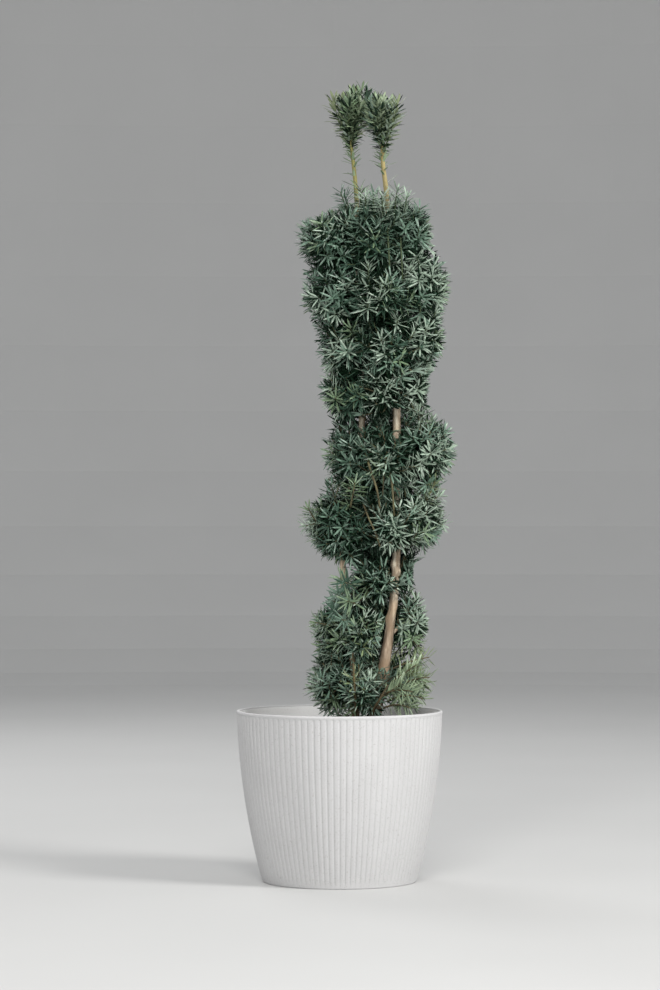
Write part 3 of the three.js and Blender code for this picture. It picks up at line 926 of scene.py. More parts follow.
@dataclass(frozen=True)
class Blades(Rows):
    """Needles as arrays: root, direction, the way the upper side faces, length, bend and tint."""

    roots: Floats
    ways: Floats
    tops: Floats
    lengths: Floats
    bends: Floats
    tints: Ints

    def tip(self, share: float) -> Floats:
        """The point of each needle's middle line at a share: root + L(s·way - bend·s²·top)."""
        ahead = self.ways * (self.lengths * share)[:, None]
        return self.roots + ahead - self.tops * (self.lengths * self.bends * share**2)[:, None]

    def surface(self, half_width: float, thickness: float) -> Surface:
        """Needles as closed blades of 16 faces.

        A blade is a root point, two four-cornered rings and a tip. A ring's corners stand at the
        right edge, the keel, the left edge and the ridge, round the point of the middle line.

        Args:
            half_width: Half a needle's width at its widest.
            thickness: From the flat of the edges to the ridge.

        Returns:
            The blades, upper faces in slot 2t and lower faces in slot 2t + 1 of tint t.
        """
        shares, widths = (0.24, 0.76), (0.94, 0.96)
        aside = np.cross(self.ways, self.tops) * half_width
        ridge = self.tops * thickness
        rows = [self.roots]
        for share, width in zip(shares, widths):
            middle = self.tip(share)
            rows += [middle + aside * width, middle - ridge * 0.5, middle - aside * width, middle + ridge]
        rows.append(self.tip(1.0))
        corners = np.stack(rows, axis=1)
        start = (np.arange(len(self.roots)) * len(rows))[:, None, None]
        quads = (start + 1 + grid_quads(2, 4)).reshape(-1, 4)
        caps = (start + pole_caps(4, first=1, last=5, near=0, far=9)).reshape(-1, 3)
        slots = 2 * self.tints[:, None] + (np.arange(4) < 2)
        return Surface(corners.reshape(-1, 3), [quads, caps], [slots.ravel(), np.tile(slots, 2).ravel()])


@dataclass(frozen=True)
class Habit:
    """How needles stand on a shoot.

    Attributes:
        count: Needles on one shoot.
        low: Their lean from the shoot at its foot, in degrees.
        high: Their lean at its tip, in degrees.
        crowding: Below 1, they crowd towards the tip.
        ranked: Whether they lie in two ranks, like a feather.
        shaded: The share of the shoot, from its foot, whose needles carry painted shade.
        mottled: The share of the other needles, picked at random, that carry painted shade.
        shade: The tint that paints their shade.
        first: The length of a needle at the shoot's foot, as a share of the longest.
        last: How much shorter a needle at the shoot's tip is, as a share of the longest.
        lean_spread: How much their lean varies, in degrees.
    """

    count: int = 26
    low: float = 80
    high: float = 40
    crowding: float = 0.62
    ranked: bool = False
    shaded: float = 0.35
    mottled: float = 0.0
    shade: Tint = Tint.SHADED
    first: float = 0.75
    last: float = 0.3
    lean_spread: float = 7


@dataclass(frozen=True)
class Shoots(Rows):
    """Leafy shoots as arrays: each is a quadratic curve from its twig, through a bend, to its tip."""

    starts: Floats
    bends: Floats
    tips: Floats
    tints: Ints
    leafy: Floats

    def points(self, shares: Floats) -> Floats:
        """Points of the curves, shoots × shares × 3."""
        return bowed(self.starts, self.bends, self.tips, shares)

    def slopes(self, shares: Floats) -> Floats:
        """Unit directions of the curves, along 2(1-s)(B-A) + 2s(C-B), shoots × shares × 3."""
        s = shares[..., None]
        a, b, c = self.starts[:, None], self.bends[:, None], self.tips[:, None]
        return unit(2 * (1 - s) * (b - a) + 2 * s * (c - b))

    @staticmethod
    def of(sprigs: Sequence["Sprig"], leafy_share: float = 0.8) -> "Shoots":
        """Sprigs as shoots whose outer part, so great a share of them, has needles."""
        starts, tips = (np.array([getattr(sprig, end) for sprig in sprigs]) for end in ("start", "tip"))
        sag = np.array([[sprig.sag] for sprig in sprigs])
        tints = np.array([sprig.tint.slot for sprig in sprigs])
        leafy = np.linalg.norm(tips - starts, axis=1) * leafy_share
        return Shoots(starts, (starts + tips) / 2 - UP * sag, tips, tints, leafy)

    @staticmethod
    def along(line: Floats, tint: Tint) -> "Shoots":
        """One long leafy shoot through the points of a line, as a shoot from each point to the next."""
        starts, tips = line[:-1], line[1:]
        tints = np.full(len(tips), tint.slot)
        return Shoots(starts, (starts + tips) / 2, tips, tints, np.linalg.norm(tips - starts, axis=1))

    def at(self, share: float) -> Floats:
        """The point of each shoot at one share."""
        return self.points(np.full((len(self.tips), 1), share))[:, 0]

    def lengths(self) -> Floats:
        """About how long each shoot is: twice the way from its start to its middle."""
        return np.linalg.norm(self.at(0.5) - self.starts, axis=1) * 2

    def wood(self, rings: int, thick: float, thin: float, sides: int) -> Surface:
        """The shoots as blunt-tipped tubes that narrow from thick to thin, without needles."""
        lines = self.points(np.linspace(0, 1, rings)[None].repeat(len(self.tips), 0))
        return tubes(lines, tapered(len(lines), rings, thick, thin, sides), blunt=2.5)


@dataclass(frozen=True)
class Sprig:
    """One leafy shoot that the shears have missed: its ends, how far it sags between them, and its tint."""

    start: Triple
    tip: Triple
    sag: float
    tint: Tint


@dataclass(frozen=True)
class Tuft:
    """A tuft at the end of a leader: its name, its middle and its reach each way."""

    name: str
    centre: Triple
    reach: Triple


@dataclass(frozen=True)
class TintShares:
    """How much of each tint, from DEEP to SPRAY, the shoots have, and what each kind of place adds."""

    common: tuple[float, ...] = (0.30, 0.40, 0.10, 0, 0.17, 0)
    # Painted light: more pale needles to the right (aside) and to the left (left).
    aside: tuple[float, ...] = (-0.27, -0.12, 0, 0, 0.52, 0)
    left: tuple[float, ...] = (0, 0, 0, 0, 0.45, 0)
    # Low down: more fresh and olive green, and more pale needles as painted light where the lower masses face
    # down.
    low: tuple[float, ...] = (-0.24, 0, 0.18, 0.03, 0.12, 0)
    low_aside: tuple[float, ...] = (0, 0, 0, 0.45, -0.208, 0.3)
    tuft: tuple[float, ...] = (-0.1, -0.15, 0.2, 0.4, 0, 0.5)
    # Painted light: paler, yellower needles on the tufts' sunny side.
    sunny: tuple[float, ...] = (-0.3, -0.1, 0, 0, 0, 0.9)
    least_deep: float = 0.02

    def weights(self, **places: Floats) -> Floats:
        """Weights of the tints: common + the sum of each kind of place × how far a tip is in it.

        Args:
            **places: For each kind of place, a number from 0 to 1 for each tip.

        Returns:
            Tips × tints.
        """
        total = np.array(self.common) + sum(
            np.outer(share, getattr(self, name)) for name, share in places.items()
        )
        total[:, 0] = np.maximum(self.least_deep, total[:, 0])
        return total


@dataclass
class Evergreen:
    """The plant: trunk, second stem, boughs, twigs and needles."""

    planter: Planter
    compost_top: float
    trunk: Limb = Limb(
        (
            (30, 0, 138.3, 10.5),
            (32.5, -1, 152, 6.1),
            (40.3, -4, 195, 5.1),
            (47.6, -6, 240, 4.2),
            (51.8, -5, 280, 3.8),
            (52.6, -6, 350, 3.7),
            (53, -7, 430, 3.7),
            (49.5, -3, 510, 3.3),
            (45.2, -2, 580, 2.9),
            (43.4, -4, 636, 2.6),
            (40.2, -5, 664, 2.4),
            (39.4, -6, 690, 2.1),
        )
    )
    second_stem: Limb = Limb(
        (
            (12, -8, 138.3, 5.4),
            (14.5, -10, 152, 3.3),
            (12.6, -12, 200, 2.9),
            (3, -6, 290, 2.8),
            (8, 4, 350, 2.7),
            (21, 2, 425, 2.6),
            (17, -2, 540, 2.5),
            (15.8, 0, 630, 2.4),
            (12.6, 3, 668, 2.1),
            (9, 5, 694, 1.9),
        )
    )
    tiers: tuple[Tier, ...] = (
        Tier("skirt", 183, 37, -36, 86, -50, 50, 20, thin_right=0.6),
        Tier("lower", 237, 36, -30, 84, -46, 50, 22, thin_right=0.25),
        Tier("waist", 287, 31, 0, 69, -40, 44, 33, open_left=True),
        Tier("belly", 335, 38, -41, 99, -50, 52, 48, short_left=0.2),
        Tier("middle", 399, 38, -20, 111, -50, 54, 44),
        Tier("neck", 459, 29, -22, 84, -44, 48, 40),
        Tier("upper", 500, 34, -24, 100, -52, 52, 46),
        Tier("crown", 549, 37, -40, 106, -54, 54, 36),
        Tier("top", 600, 38, -44, 88, -46, 48, 30),
    )
    tufts: tuple[Tuft, Tuft] = (
        Tuft("right_tuft", (41.5, -7, 708), (23.0, 22, 25)),
        Tuft("left_tuft", (9.8, 6, 714), (27.0, 25, 28)),
    )
    bark: Bark = Bark("bark")
    olive_bark: Bark = Bark("olive_bark", young=(0.21, 0.195, 0.065))
    twig_bark: Bark = Bark(
        "twig_bark",
        old=(0.13, 0.115, 0.055),
        pale=(0.20, 0.185, 0.09),
        crack=(0.05, 0.04, 0.02),
        young=(0.045, 0.065, 0.028),
        young_from=0.44,
        young_to=0.54,
    )
    # How far the left, front, right and back masses of a tier stand above its height, and where they
    # stand and how far they reach, shares being of the tier's width or depth.
    climbs: tuple[float, float, float, float] = (-5, -7, 2, 9)
    left_share: float = 0.29
    back_share: float = 0.36
    back_shift: float = 14
    right_overlap: float = 2
    front_half_width: float = 29
    side_depth: float = 0.4
    front_depth: float = 0.28
    back_depth: float = 0.3
    # Boughs, each from the nearer stem to a mass's core, and the stems that run on to its middle.
    core_share: float = 0.56
    shortest_bough: float = 7
    bough_drop: float = 9
    bough_sag: float = 1.5
    stem_rise: float = 0.8
    bough_radii: Triple = (2.2, 1.9, 1.6)
    stem_radii: Triple = (1.6, 1.45, 1.25)
    # The clipped outline: how sharply masses merge, the lines (x, height and slope) above which the
    # crown is cut, and the height where the tufts begin.
    merging: float = 4.0
    shoulders: tuple[Triple, ...] = ((-40, 611, 0.42), (56, 638, -0.6))
    tufts_from: float = 655
    # The heights where the trunk and the second stem show, and what needles keep clear of.
    bare_stretches: tuple[Pair, ...] = ((199, 266), (283, 303), (417, 436))
    second_bare_stretches: tuple[Pair, ...] = ((421, 429),)
    bare_half_width: float = 6
    wall_gap: float = 2
    compost_gap: float = 3
    rim_gap: float = 2
    # Shoots and twigs that stand out of the clipped outline.
    missed: tuple[Sprig, ...] = (
        Sprig((12, -4, 612), (1, -9, 637), 3, Tint.BLUE),
        Sprig((14, 2, 612), (5, -2, 634), 2, Tint.DEEP),
        Sprig((20, -6, 618), (19, -9, 640), 0, Tint.FRESH),
        Sprig((50, -10, 612), (53, -13, 638), 0, Tint.PALE),
        Sprig((32, -14, 610), (31, -18, 634), 0, Tint.BLUE),
        Sprig((24, -14, 606), (24, -24, 631), 0, Tint.PALE),
        Sprig((40, -16, 606), (39, -24, 632), 0, Tint.PALE),
        Sprig((58, -12, 606), (62, -18, 632), 0, Tint.PALE),
        Sprig((66, -8, 600), (74, -12, 622), 0, Tint.BLUE),
        Sprig((10, -24, 346), (14, -34, 368), 0, Tint.FRESH),
        Sprig((72, -14, 338), (88, -18, 370), 6, Tint.OLIVE),
        Sprig((74, -12, 346), (92, -16, 357), 2, Tint.PALE),
        Sprig((76, -6, 336), (95, -10, 330), 0, Tint.PALE),
        Sprig((-10, -10, 334), (-31, -14, 329), 1, Tint.PALE),
        Sprig((-14, -8, 326), (-29, -10, 345), 5, Tint.FRESH),
        Sprig((4, -18, 236), (-22, -20, 240), 1, Tint.FRESH),
        Sprig((16, -18, 270), (5, -40, 277), -2, Tint.DEEP),
        Sprig((8, -14, 258), (-2, -36, 266), -2, Tint.BLUE),
        Sprig((20, -22, 254), (7, -44, 260), -2, Tint.FRESH),
        Sprig((6, -16, 244), (-5, -38, 251), 0, Tint.DEEP),
        Sprig((14, -12, 262), (1, -26, 281), 0, Tint.FRESH),
        Sprig((10, -10, 250), (-6, -22, 260), 0, Tint.BLUE),
        Sprig((16, -20, 240), (2, -42, 243), 0, Tint.BLUE),
    )
    feathers: tuple[Sprig, ...] = (
        Sprig((46, -26, 176), (82, -34, 190), -7, Tint.SPRAY),
        Sprig((44, -32, 168), (76, -42, 171), -8, Tint.SPRAY),
        Sprig((46, -20, 196), (82, -24, 208), -3, Tint.OLIVE),
        Sprig((40, -38, 162), (64, -50, 163), -6, Tint.SPRAY),
        Sprig((48, -14, 184), (80, -12, 184), -6, Tint.OLIVE),
        Sprig((38, -36, 172), (56, -48, 186), 2, Tint.SPRAY),
        Sprig((46, -30, 184), (70, -42, 202), 0, Tint.SPRAY),
        Sprig((42, -40, 176), (66, -54, 178), -4, Tint.SPRAY),
    )
    bare_twigs: tuple[Limb, ...] = (
        Limb(((24, -28, 396, 1.1), (28, -37, 381, 1.0), (34, -40, 362, 0.9), (37, -36, 345, 0.8))),
        Limb(((45, -26, 384, 1.1), (47.5, -38, 370, 1.0), (49, -39, 352, 0.9), (50, -32, 338, 0.8))),
        Limb(((22, -24, 348, 1.0), (27, -35, 335, 0.9), (33, -38, 322, 0.9), (37, -32, 310, 0.8))),
        Limb(((18, -20, 146, 1.7), (15, -34, 164, 1.4), (13.5, -38, 186, 1.2), (12, -34, 212, 1.0))),
        Limb(((46, -26, 562, 0.9), (45.5, -33, 572, 0.8), (44.5, -34, 590, 0.75), (44, -28, 604, 0.7))),
        Limb(((58, -26, 552, 0.8), (57.5, -32, 562, 0.7), (56.5, -33, 580, 0.65), (56, -28, 594, 0.6))),
        Limb(((28, -24, 148, 1.6), (31, -40, 160, 1.4), (36, -50, 170, 1.1), (44, -52, 184, 0.9))),
    )
    # Shoots: the tips' spacing and bands of depth, and how they lean, between outwards and upwards.
    tip_spacing: float = 13.4
    deep_spacing: float = 17.0
    tip_inset: float = 8.5
    inner_shoots: int = 12
    depth_bands: tuple[Pair, ...] = ((0.86, 1.0), (0.6, 0.82), (0.35, 0.6))
    outer_depth: float = 0.84
    way_spread: float = 0.13
    lean_out: Pair = (0.55, 1.1)
    lean_up: Pair = (0.1, 0.8)
    lean_spread: float = 0.16
    leafy_length: float = 27
    # Needles on the clipped masses, the skirt, the tufts, the leaders and the feathers.
    # Painted shade: the foot of each shoot, and some needles at random, take the near-black SHADED tint, and
    # in the skirt the deep green DEEP one.
    star: Habit = Habit(mottled=0.13)
    low_star: Habit = Habit(shaded=0.3, shade=Tint.DEEP)
    brush: Habit = Habit(count=42, low=62, high=28, crowding=0.8, shaded=0.14, mottled=0.24, first=0.5)
    sparse: Habit = Habit(count=38, low=68, high=36, crowding=0.8, shaded=0)
    feather: Habit = Habit(count=20, low=60, high=36, crowding=1.0, ranked=True, shaded=0)
    needle_length: float = 15.8
    needle_half_width: float = 0.82
    broad_half_width: float = 1.1
    needle_thickness: float = 0.32
    trims: tuple[float, ...] = (1.0, 0.85, 0.7, 0.58)
    # How the shoots' tints are dealt: shares, and bands of x or height from none of an effect to all. The
    # side, sunny and low bands also place painted light, and the skirt and lit bands set where less painted
    # shade goes.
    tint_shares: TintShares = TintShares()
    aside_band: Pair = (20, 90)
    left_band: Pair = (5, -30)
    low_band: Pair = (330, 180)
    sunny_band: Pair = (20, 35)
    skirt_band: Pair = (260, 170)
    lit_side_band: Pair = (30, 90)
    lit_height_band: Pair = (520, 440)
    bare_foot_band: Pair = (182, 162)
    # Twigs inside a mass, and the upright shoots of a tuft.
    twigs_each: int = 7
    twig_reach: Pair = (0.42, 0.56)
    twig_sag: float = 2.5
    tuft_shoots: int = 15
    tuft_out: Pair = (0.3, 0.74)
    tuft_rise: Pair = (0.55, 1.0)
    tuft_foot: float = 16
    leader_needles: Pair = (630, 690)
    seed: int = 31

    def __post_init__(self) -> None:
        """Works out the masses, their boughs and stems."""
        self.stems = (self.trunk, self.second_stem)
        self.masses = self._masses()
        for mass in self.masses:
            self._part(mass)
            if mass.side in (Side.LEFT, Side.RIGHT):
                mass.bough = self._bough(mass)
            mass.stem = self._mass_stem(mass)
        self.limbs = [*self.stems, *(m.bough for m in self.masses if m.bough)]

    # Where the masses are

    def _tier_mass(self, tier: Tier, side: Side, climb: float) -> Mass:
        """A tier's mass on one side, from shares of the tier's width and depth.

        Args:
            tier: The turn of foliage.
            side: Of the trunk.
            climb: How far the mass stands above the tier's height.

        Returns:
            The mass, without its bough and stem.
        """
        height = tier.height + climb
        trunk_x = float(self.trunk.at_height(height)[0])
        width, depth = tier.right - tier.left, tier.back - tier.front
        aside, ahead, behind = depth * self.side_depth, depth * self.front_depth, depth * self.back_depth
        right_reach = (tier.right - trunk_x) / 2 + self.right_overlap
        x, y, reach_x, reach_y = {
            Side.LEFT: (tier.left + width * self.left_share, 0, width * self.left_share, aside),
            Side.RIGHT: (tier.right - right_reach, 1, right_reach, aside),
            Side.FRONT: (tier.front_x, tier.front + ahead, self.front_half_width, ahead),
            Side.BACK: (trunk_x - self.back_shift, tier.back - behind, width * self.back_share, behind),
        }[side]
        thin = tier.thin_right if side is Side.RIGHT else 0.0
        short = tier.short_left if side is Side.LEFT else 0.0
        reach = np.array([reach_x, reach_y, tier.half])
        return Mass(tier.name, side, np.array([x, y, height]), reach, thin, short)

    def _masses(self) -> list[Mass]:
        """Every mass, from the compost up, and the two tufts."""
        sides = (Side.LEFT, Side.FRONT, Side.RIGHT, Side.BACK)
        clipped = [
            self._tier_mass(tier, side, climb)
            for tier in self.tiers
            for side, climb in zip(sides, self.climbs)
            if not (tier.open_left and side is Side.LEFT)
        ]
        tufts = [
            Mass(tuft.name, Side.TUFT, np.array(tuft.centre), np.array(tuft.reach), carrier=stem)
            for tuft, stem in zip(self.tufts, self.stems)
        ]
        return [*clipped, *tufts]

    def _part(self, mass: Mass) -> None:
        """Sets the planes between a mass and its neighbours, at the share that each one's reach gives it."""
        others = [other for other in self.masses if other is not mass]
        offsets = np.array([other.centre for other in others]) - mass.centre
        distance = np.linalg.norm(offsets, axis=1)
        ways = offsets / distance[:, None]
        own = mass.span(ways)
        theirs = np.array([float(other.span(way)) for other, way in zip(others, ways)])
        along = distance * own / (own + theirs)
        near = along < mass.reach.max()
        mass.plane_ways = ways[near]
        mass.plane_points = mass.centre + ways[near] * along[near, None]

    def _nearest_stem_point(self, mass: Mass) -> Floats:
        """The point of the nearer stem that a mass grows from, a little below its middle."""
        feet = [stem.at_height(mass.centre[2] - self.bough_drop) for stem in self.stems]
        return min(feet, key=lambda foot: float(np.linalg.norm(foot - mass.centre)))

    def _bough(self, mass: Mass) -> Limb | None:
        """A bough from the nearer stem to the edge of the mass's core, or none if the mass is close."""
        foot = self._nearest_stem_point(mass)
        outward = mass.centre - foot
        length = float(np.linalg.norm(outward)) - self.core_share * float(mass.reach[0])
        if length < self.shortest_bough:
            return None
        tip = foot + unit(outward) * length
        bend = (foot + tip) / 2 - self.bough_sag * UP
        return Limb.through((foot, bend, tip), self.bough_radii)

    def _mass_stem(self, mass: Mass) -> Limb:
        """The stem that runs on from a bough, leader or stem to the mass's middle."""
        carrier = mass.bough or mass.carrier
        foot = carrier.points(np.array([1.0]))[0] if carrier else self._nearest_stem_point(mass)
        middle = (foot + mass.centre) / 2 + self.stem_rise * UP
        return Limb.through((foot, middle, mass.centre), self.stem_radii)

    # Where shoots and needles may grow

    def _in_bare_stretch(self, points: Floats) -> Mask:
        """True in front of the trunk and the second stem, on the stretches of height where they show."""
        height = points[..., 2]
        bare = np.zeros(height.shape, bool)
        for stem, stretches in zip(self.stems, (self.bare_stretches, self.second_bare_stretches)):
            x, y, _ = stem.at_height(height)
            ahead = (points[..., 1] < y) & (np.abs(points[..., 0] - x) < self.bare_half_width)
            bare |= ahead & np.any([(height > low) & (height < high) for low, high in stretches], axis=0)
        return bare

    def _room(self, points: Floats) -> Floats:
        """How far inside the clipped outline points are: 1 on it, more inside, less outside.

        The outline is where the sum over the masses of exp(-k(q² - 1)) is 1, q being the point's share
        of a mass's reach, so that neighbouring masses merge with a soft crease. The crown ends at its
        shoulders, lines with a height at an x and a slope, and the tufts begin well above them.
        """
        total = np.zeros(points.shape[:-1])
        for mass in self.masses:
            total += np.exp(-self.merging * (mass.share(points) ** 2 - 1))
        x, height = points[..., 0], points[..., 2]
        shoulder = np.min([top + slope * (x - at) for at, top, slope in self.shoulders], axis=0)
        return total * ((height < shoulder) | (height > self.tufts_from))

    def _outline(self, mass: Mass, ways: Floats) -> Floats:
        """How far the clipped outline is from a mass's centre in each direction."""
        steps = np.linspace(0.5, 1.4, 46)
        far = mass.span(ways)[:, None] * steps
        inside = self._room(mass.centre + ways[:, None] * far[..., None]) >= 1
        return np.where(inside, far, 0).max(axis=1)

    def _in_own_space(self, mass: Mass, points: Floats, reach: float, slack: float, gap: float) -> Mask:
        """True where points keep to a mass's space.

        Args:
            mass: Whose space.
            points: Tested, in rows.
            reach: How far out they may stand, as a share of the way to the clipped outline.
            slack: How far they may stand across a parting plane.
            gap: Kept from the bark of every limb.

        Returns:
            A mask of the points.
        """
        height = points[..., 2]
        outer = self.planter.outer(np.minimum(height, self.planter.height))
        wall = outer - self.planter.wall - self.wall_gap
        in_pot = np.hypot(points[..., 0], points[..., 1]) < wall
        clear = np.min([limb.distance(points) for limb in self.limbs], axis=0) > gap
        return (
            (self._room(points) > np.exp(-self.merging * (reach**2 - 1)))
            & (mass.past_planes(points) < slack)
            & (height > self.compost_top + self.compost_gap)
            & (in_pot | (height > self.planter.height + self.rim_gap))
            & ~self._in_bare_stretch(points)
            & clear
        )

    # Twigs, shoots and needles

    def _twigs(self, mass: Mass, rng: Random) -> Floats:
        """Main twigs of a mass, from its stem outwards to about half its reach.

        Args:
            mass: That they grow in.
            rng: Deals their places.

        Returns:
            Twigs × points × 3.
        """
        count = self.twigs_each
        ways = even_directions(count, float(rng.uniform(0, FULL_TURN)))
        ends = mass.centre + ways * (mass.span(ways) * rng.uniform(*self.twig_reach, count))[:, None]
        starts = mass.stem.points(rng.uniform(0.45, 1.0, count))
        bends = (starts + ends) / 2 - UP * self.twig_sag
        return bowed(starts, bends, ends, np.linspace(0, 1, 6)[None])

    def _tints(self, mass: Mass, tips: Floats, rng: Random) -> Ints:
        """Deals a tint to each shoot: paler to both sides as painted light, more fresh and olive low down
        with paler needles there as painted light, yellower in the tufts, and paler and yellower still on the
        tufts' sunny side as painted light.
        """
        x, height = tips[:, 0], tips[:, 2]
        aside, low = smoothstep(*self.aside_band, x), smoothstep(*self.low_band, height)
        tuft = np.full(len(tips), float(mass.side is Side.TUFT))
        weights = self.tint_shares.weights(
            aside=aside,
            left=smoothstep(*self.left_band, x),
            low=low,
            low_aside=low * aside,
            tuft=tuft,
            sunny=tuft * smoothstep(*self.sunny_band, x),
        )
        edges = np.cumsum(weights, axis=1) / weights.sum(axis=1, keepdims=True)
        return Tint.DEEP.slot + (rng.uniform(0, 1, (len(tips), 1)) > edges).sum(axis=1)

    def _darkened(self, tints: Ints, tips: Floats, depth: Floats, rng: Random) -> Ints:
        """Paints shade on shoots that stand deep inside a mass: most get the near-black tint and the rest a
        deep green, but low down and on the lit side fewer are shaded and the rest keep their dealt tint.

        Args:
            tints: That the shoots were dealt.
            tips: Of the shoots.
            depth: How far out each tip is, as a share of the way to the outline.
            rng: Deals which shoots get painted shade.

        Returns:
            The shoots' tints.
        """
        x, height = tips[:, 0], tips[:, 2]
        low = smoothstep(*self.skirt_band, height)
        lit = smoothstep(*self.lit_side_band, x) * smoothstep(*self.lit_height_band, height)
        # Painted shade deep inside a mass, with less of it low down and on the lit side.
        dark = rng.uniform(0, 1, len(tips)) < 0.85 - 0.6 * low - 0.45 * lit
        inner = np.where(low + lit > 0.5, tints, Tint.DEEP.slot)
        inner = np.where(dark, Tint.SHADED.slot, inner)
        return np.where(depth < self.outer_depth, inner, tints)

    def _spread_tips(self, mass: Mass, rng: Random) -> tuple[Floats, Floats, Floats]:
        """Spreads the tips of shoots over a mass's clipped outline, and fewer in two bands inside it.

        Args:
            mass: That they grow in.
            rng: Deals their places.

        Returns:
            The tips, the way to each from the mass's centre, and how far out it is, as a share.
        """
        a, b, c = mass.reach - self.tip_inset
        area = 4 * math.pi * np.mean([a * b, b * c, a * c])
        counts = (int(area / self.tip_spacing**2), int(area / self.deep_spacing**2), self.inner_shoots)
        ways = np.vstack([even_directions(count, rng.uniform(0, 6)) for count in counts])
        ways = unit(ways + rng.normal(0, self.way_spread, ways.shape))
        depth = np.concatenate([rng.uniform(*band, count) for band, count in zip(self.depth_bands, counts)])
        room = (self._outline(mass, ways) - self.tip_inset) * (1 - mass.short * np.maximum(0, -ways[:, 0]))
        return mass.centre + ways * (room * depth)[:, None], ways, depth

    def _shoots(self, mass: Mass, twigs: Floats, rng: Random) -> Shoots:
        """Leafy shoots of a mass: tips spread over its clipped outline, and fewer deeper in.

        A tip stands a needle's reach inside the outline. The shoot leans from straight out towards
        straight up, and starts from the nearest main twig.

        Args:
            mass: That they grow in.
            twigs: Its main twigs.
            rng: Deals places and leans.

        Returns:
            The shoots whose tips and middles keep to the mass's space.
        """
        tips, ways, depth = self._spread_tips(mass, rng)
        out, rise = (rng.uniform(*pull, (len(tips), 1)) for pull in (self.lean_out, self.lean_up))
        lean = unit(out * ways + rise * UP + rng.normal(0, self.lean_spread, ways.shape))
        ends = twigs[:, -1]
        wanted = tips - lean * self.leafy_length
        nearest = np.linalg.norm(wanted[:, None] - ends[None], axis=-1).argmin(axis=1)
        ring = rng.integers(2, twigs.shape[1], len(tips))
        starts = twigs[nearest, ring]
        reach = np.linalg.norm(tips - starts, axis=1)
        bends = tips - lean * (0.55 * reach)[:, None]
        tints = self._darkened(self._tints(mass, tips, rng), tips, depth, rng)
        made = Shoots(starts, bends, tips, tints, np.minimum(reach, self.leafy_length))
        keep = self._in_own_space(mass, tips, reach=1.0, slack=5.0, gap=2.0)
        keep &= self._in_own_space(mass, made.at(0.7), reach=1.0, slack=12.0, gap=1.0)
        bare = np.maximum(mass.thin, 0.75 * smoothstep(*self.bare_foot_band, tips[:, 2]))
        return made.kept(keep & (rng.uniform(0, 1, len(tips)) >= bare))

    def _tuft_shoots(self, mass: Mass, rng: Random) -> Shoots:
        """Upright shoots that fan out from the end of a leader, round one that carries it on.

        Args:
            mass: The tuft.
            rng: Deals places.

        Returns:
            The shoots, the leader's own last one first.
        """
        foot = mass.carrier.points(np.array([1.0]))[0]
        around = np.arange(self.tuft_shoots) * GOLDEN_ANGLE * 1.02 + rng.uniform(0, 6)
        out = mass.reach[0] * rng.uniform(*self.tuft_out, self.tuft_shoots)
        top = mass.centre[2] + mass.reach[2] - foot[2]
        rise = (top - 9) * rng.uniform(*self.tuft_rise, self.tuft_shoots)
        out[0], rise[0] = 0, top - 13
        level = np.column_stack([np.cos(around), np.sin(around), 0 * around])
        tips = foot + level * out[:, None] + UP * rise[:, None]
        tips[:, 0] += 0.06 * rise
        starts = foot - UP * rng.uniform(0, self.tuft_foot, (self.tuft_shoots, 1))
        starts[:, :2] = [mass.carrier.at_height(z)[:2] for z in starts[:, 2]]
        bends = starts + level * (out * 0.75)[:, None] + UP * (0.35 * (tips - starts)[:, 2:])
        tints = self._tints(mass, tips, rng)
        return Shoots(starts, bends, tips, tints, np.linalg.norm(tips - starts, axis=1))

    def _needles(self, shoots: Shoots, habit: Habit, rng: Random) -> Blades:
        """Needles dealt round each shoot by the golden angle, or in two ranks beside it.

        Args:
            shoots: That the needles grow on.
            habit: How they stand on it.
            rng: Deals small differences.

        Returns:
            The needles.
        """
        count, each = len(shoots.tips), habit.count
        order = np.linspace(0, 1, each)[None] ** habit.crowding + 0 * shoots.leafy[:, None]
        first = 1 - shoots.leafy / np.maximum(shoots.lengths(), shoots.leafy + 1)
        shares = first[:, None] + (1 - first[:, None]) * order
        roots, along = shoots.points(shares), shoots.slopes(shares)
        guide = unit(np.cross(along, np.array([0.31, 0.17, 0.93])))
        other = np.cross(along, guide)
        turn = np.arange(each) * GOLDEN_ANGLE + rng.uniform(0, 6.3, (count, 1))
        if habit.ranked:
            turn = np.arange(each) * math.pi + math.pi / 2 + rng.uniform(-0.3, 0.3, (count, 1))
        turn = (turn + rng.normal(0, 0.25, (count, each)))[..., None]
        lean = habit.low + (habit.high - habit.low) * order**3
        lean = np.radians(lean + rng.normal(0, habit.lean_spread, order.shape))[..., None]
        ways = unit(np.cos(lean) * along + np.sin(lean) * (np.cos(turn) * guide + np.sin(turn) * other))
        tops = unit(along - (along * ways).sum(-1, keepdims=True) * ways)
        short = (1 - habit.first) * (1 - order) ** 2
        length = self.needle_length * (1 - short - habit.last * order**6)
        length = length * rng.normal(1, 0.08, order.shape)
        bends = rng.normal(0.07, 0.07, order.shape)
        rows = (part.reshape(-1, 3) for part in (roots, ways, tops))
        # Painted shade: needles low on a shoot, and some at random, take the habit's dark tint.
        dark = (order < habit.shaded) | (rng.uniform(0, 1, order.shape) < habit.mottled)
        tints = np.where(dark, habit.shade.slot, shoots.tints[:, None])
        return Blades(*rows, length.ravel(), bends.ravel(), tints.ravel())

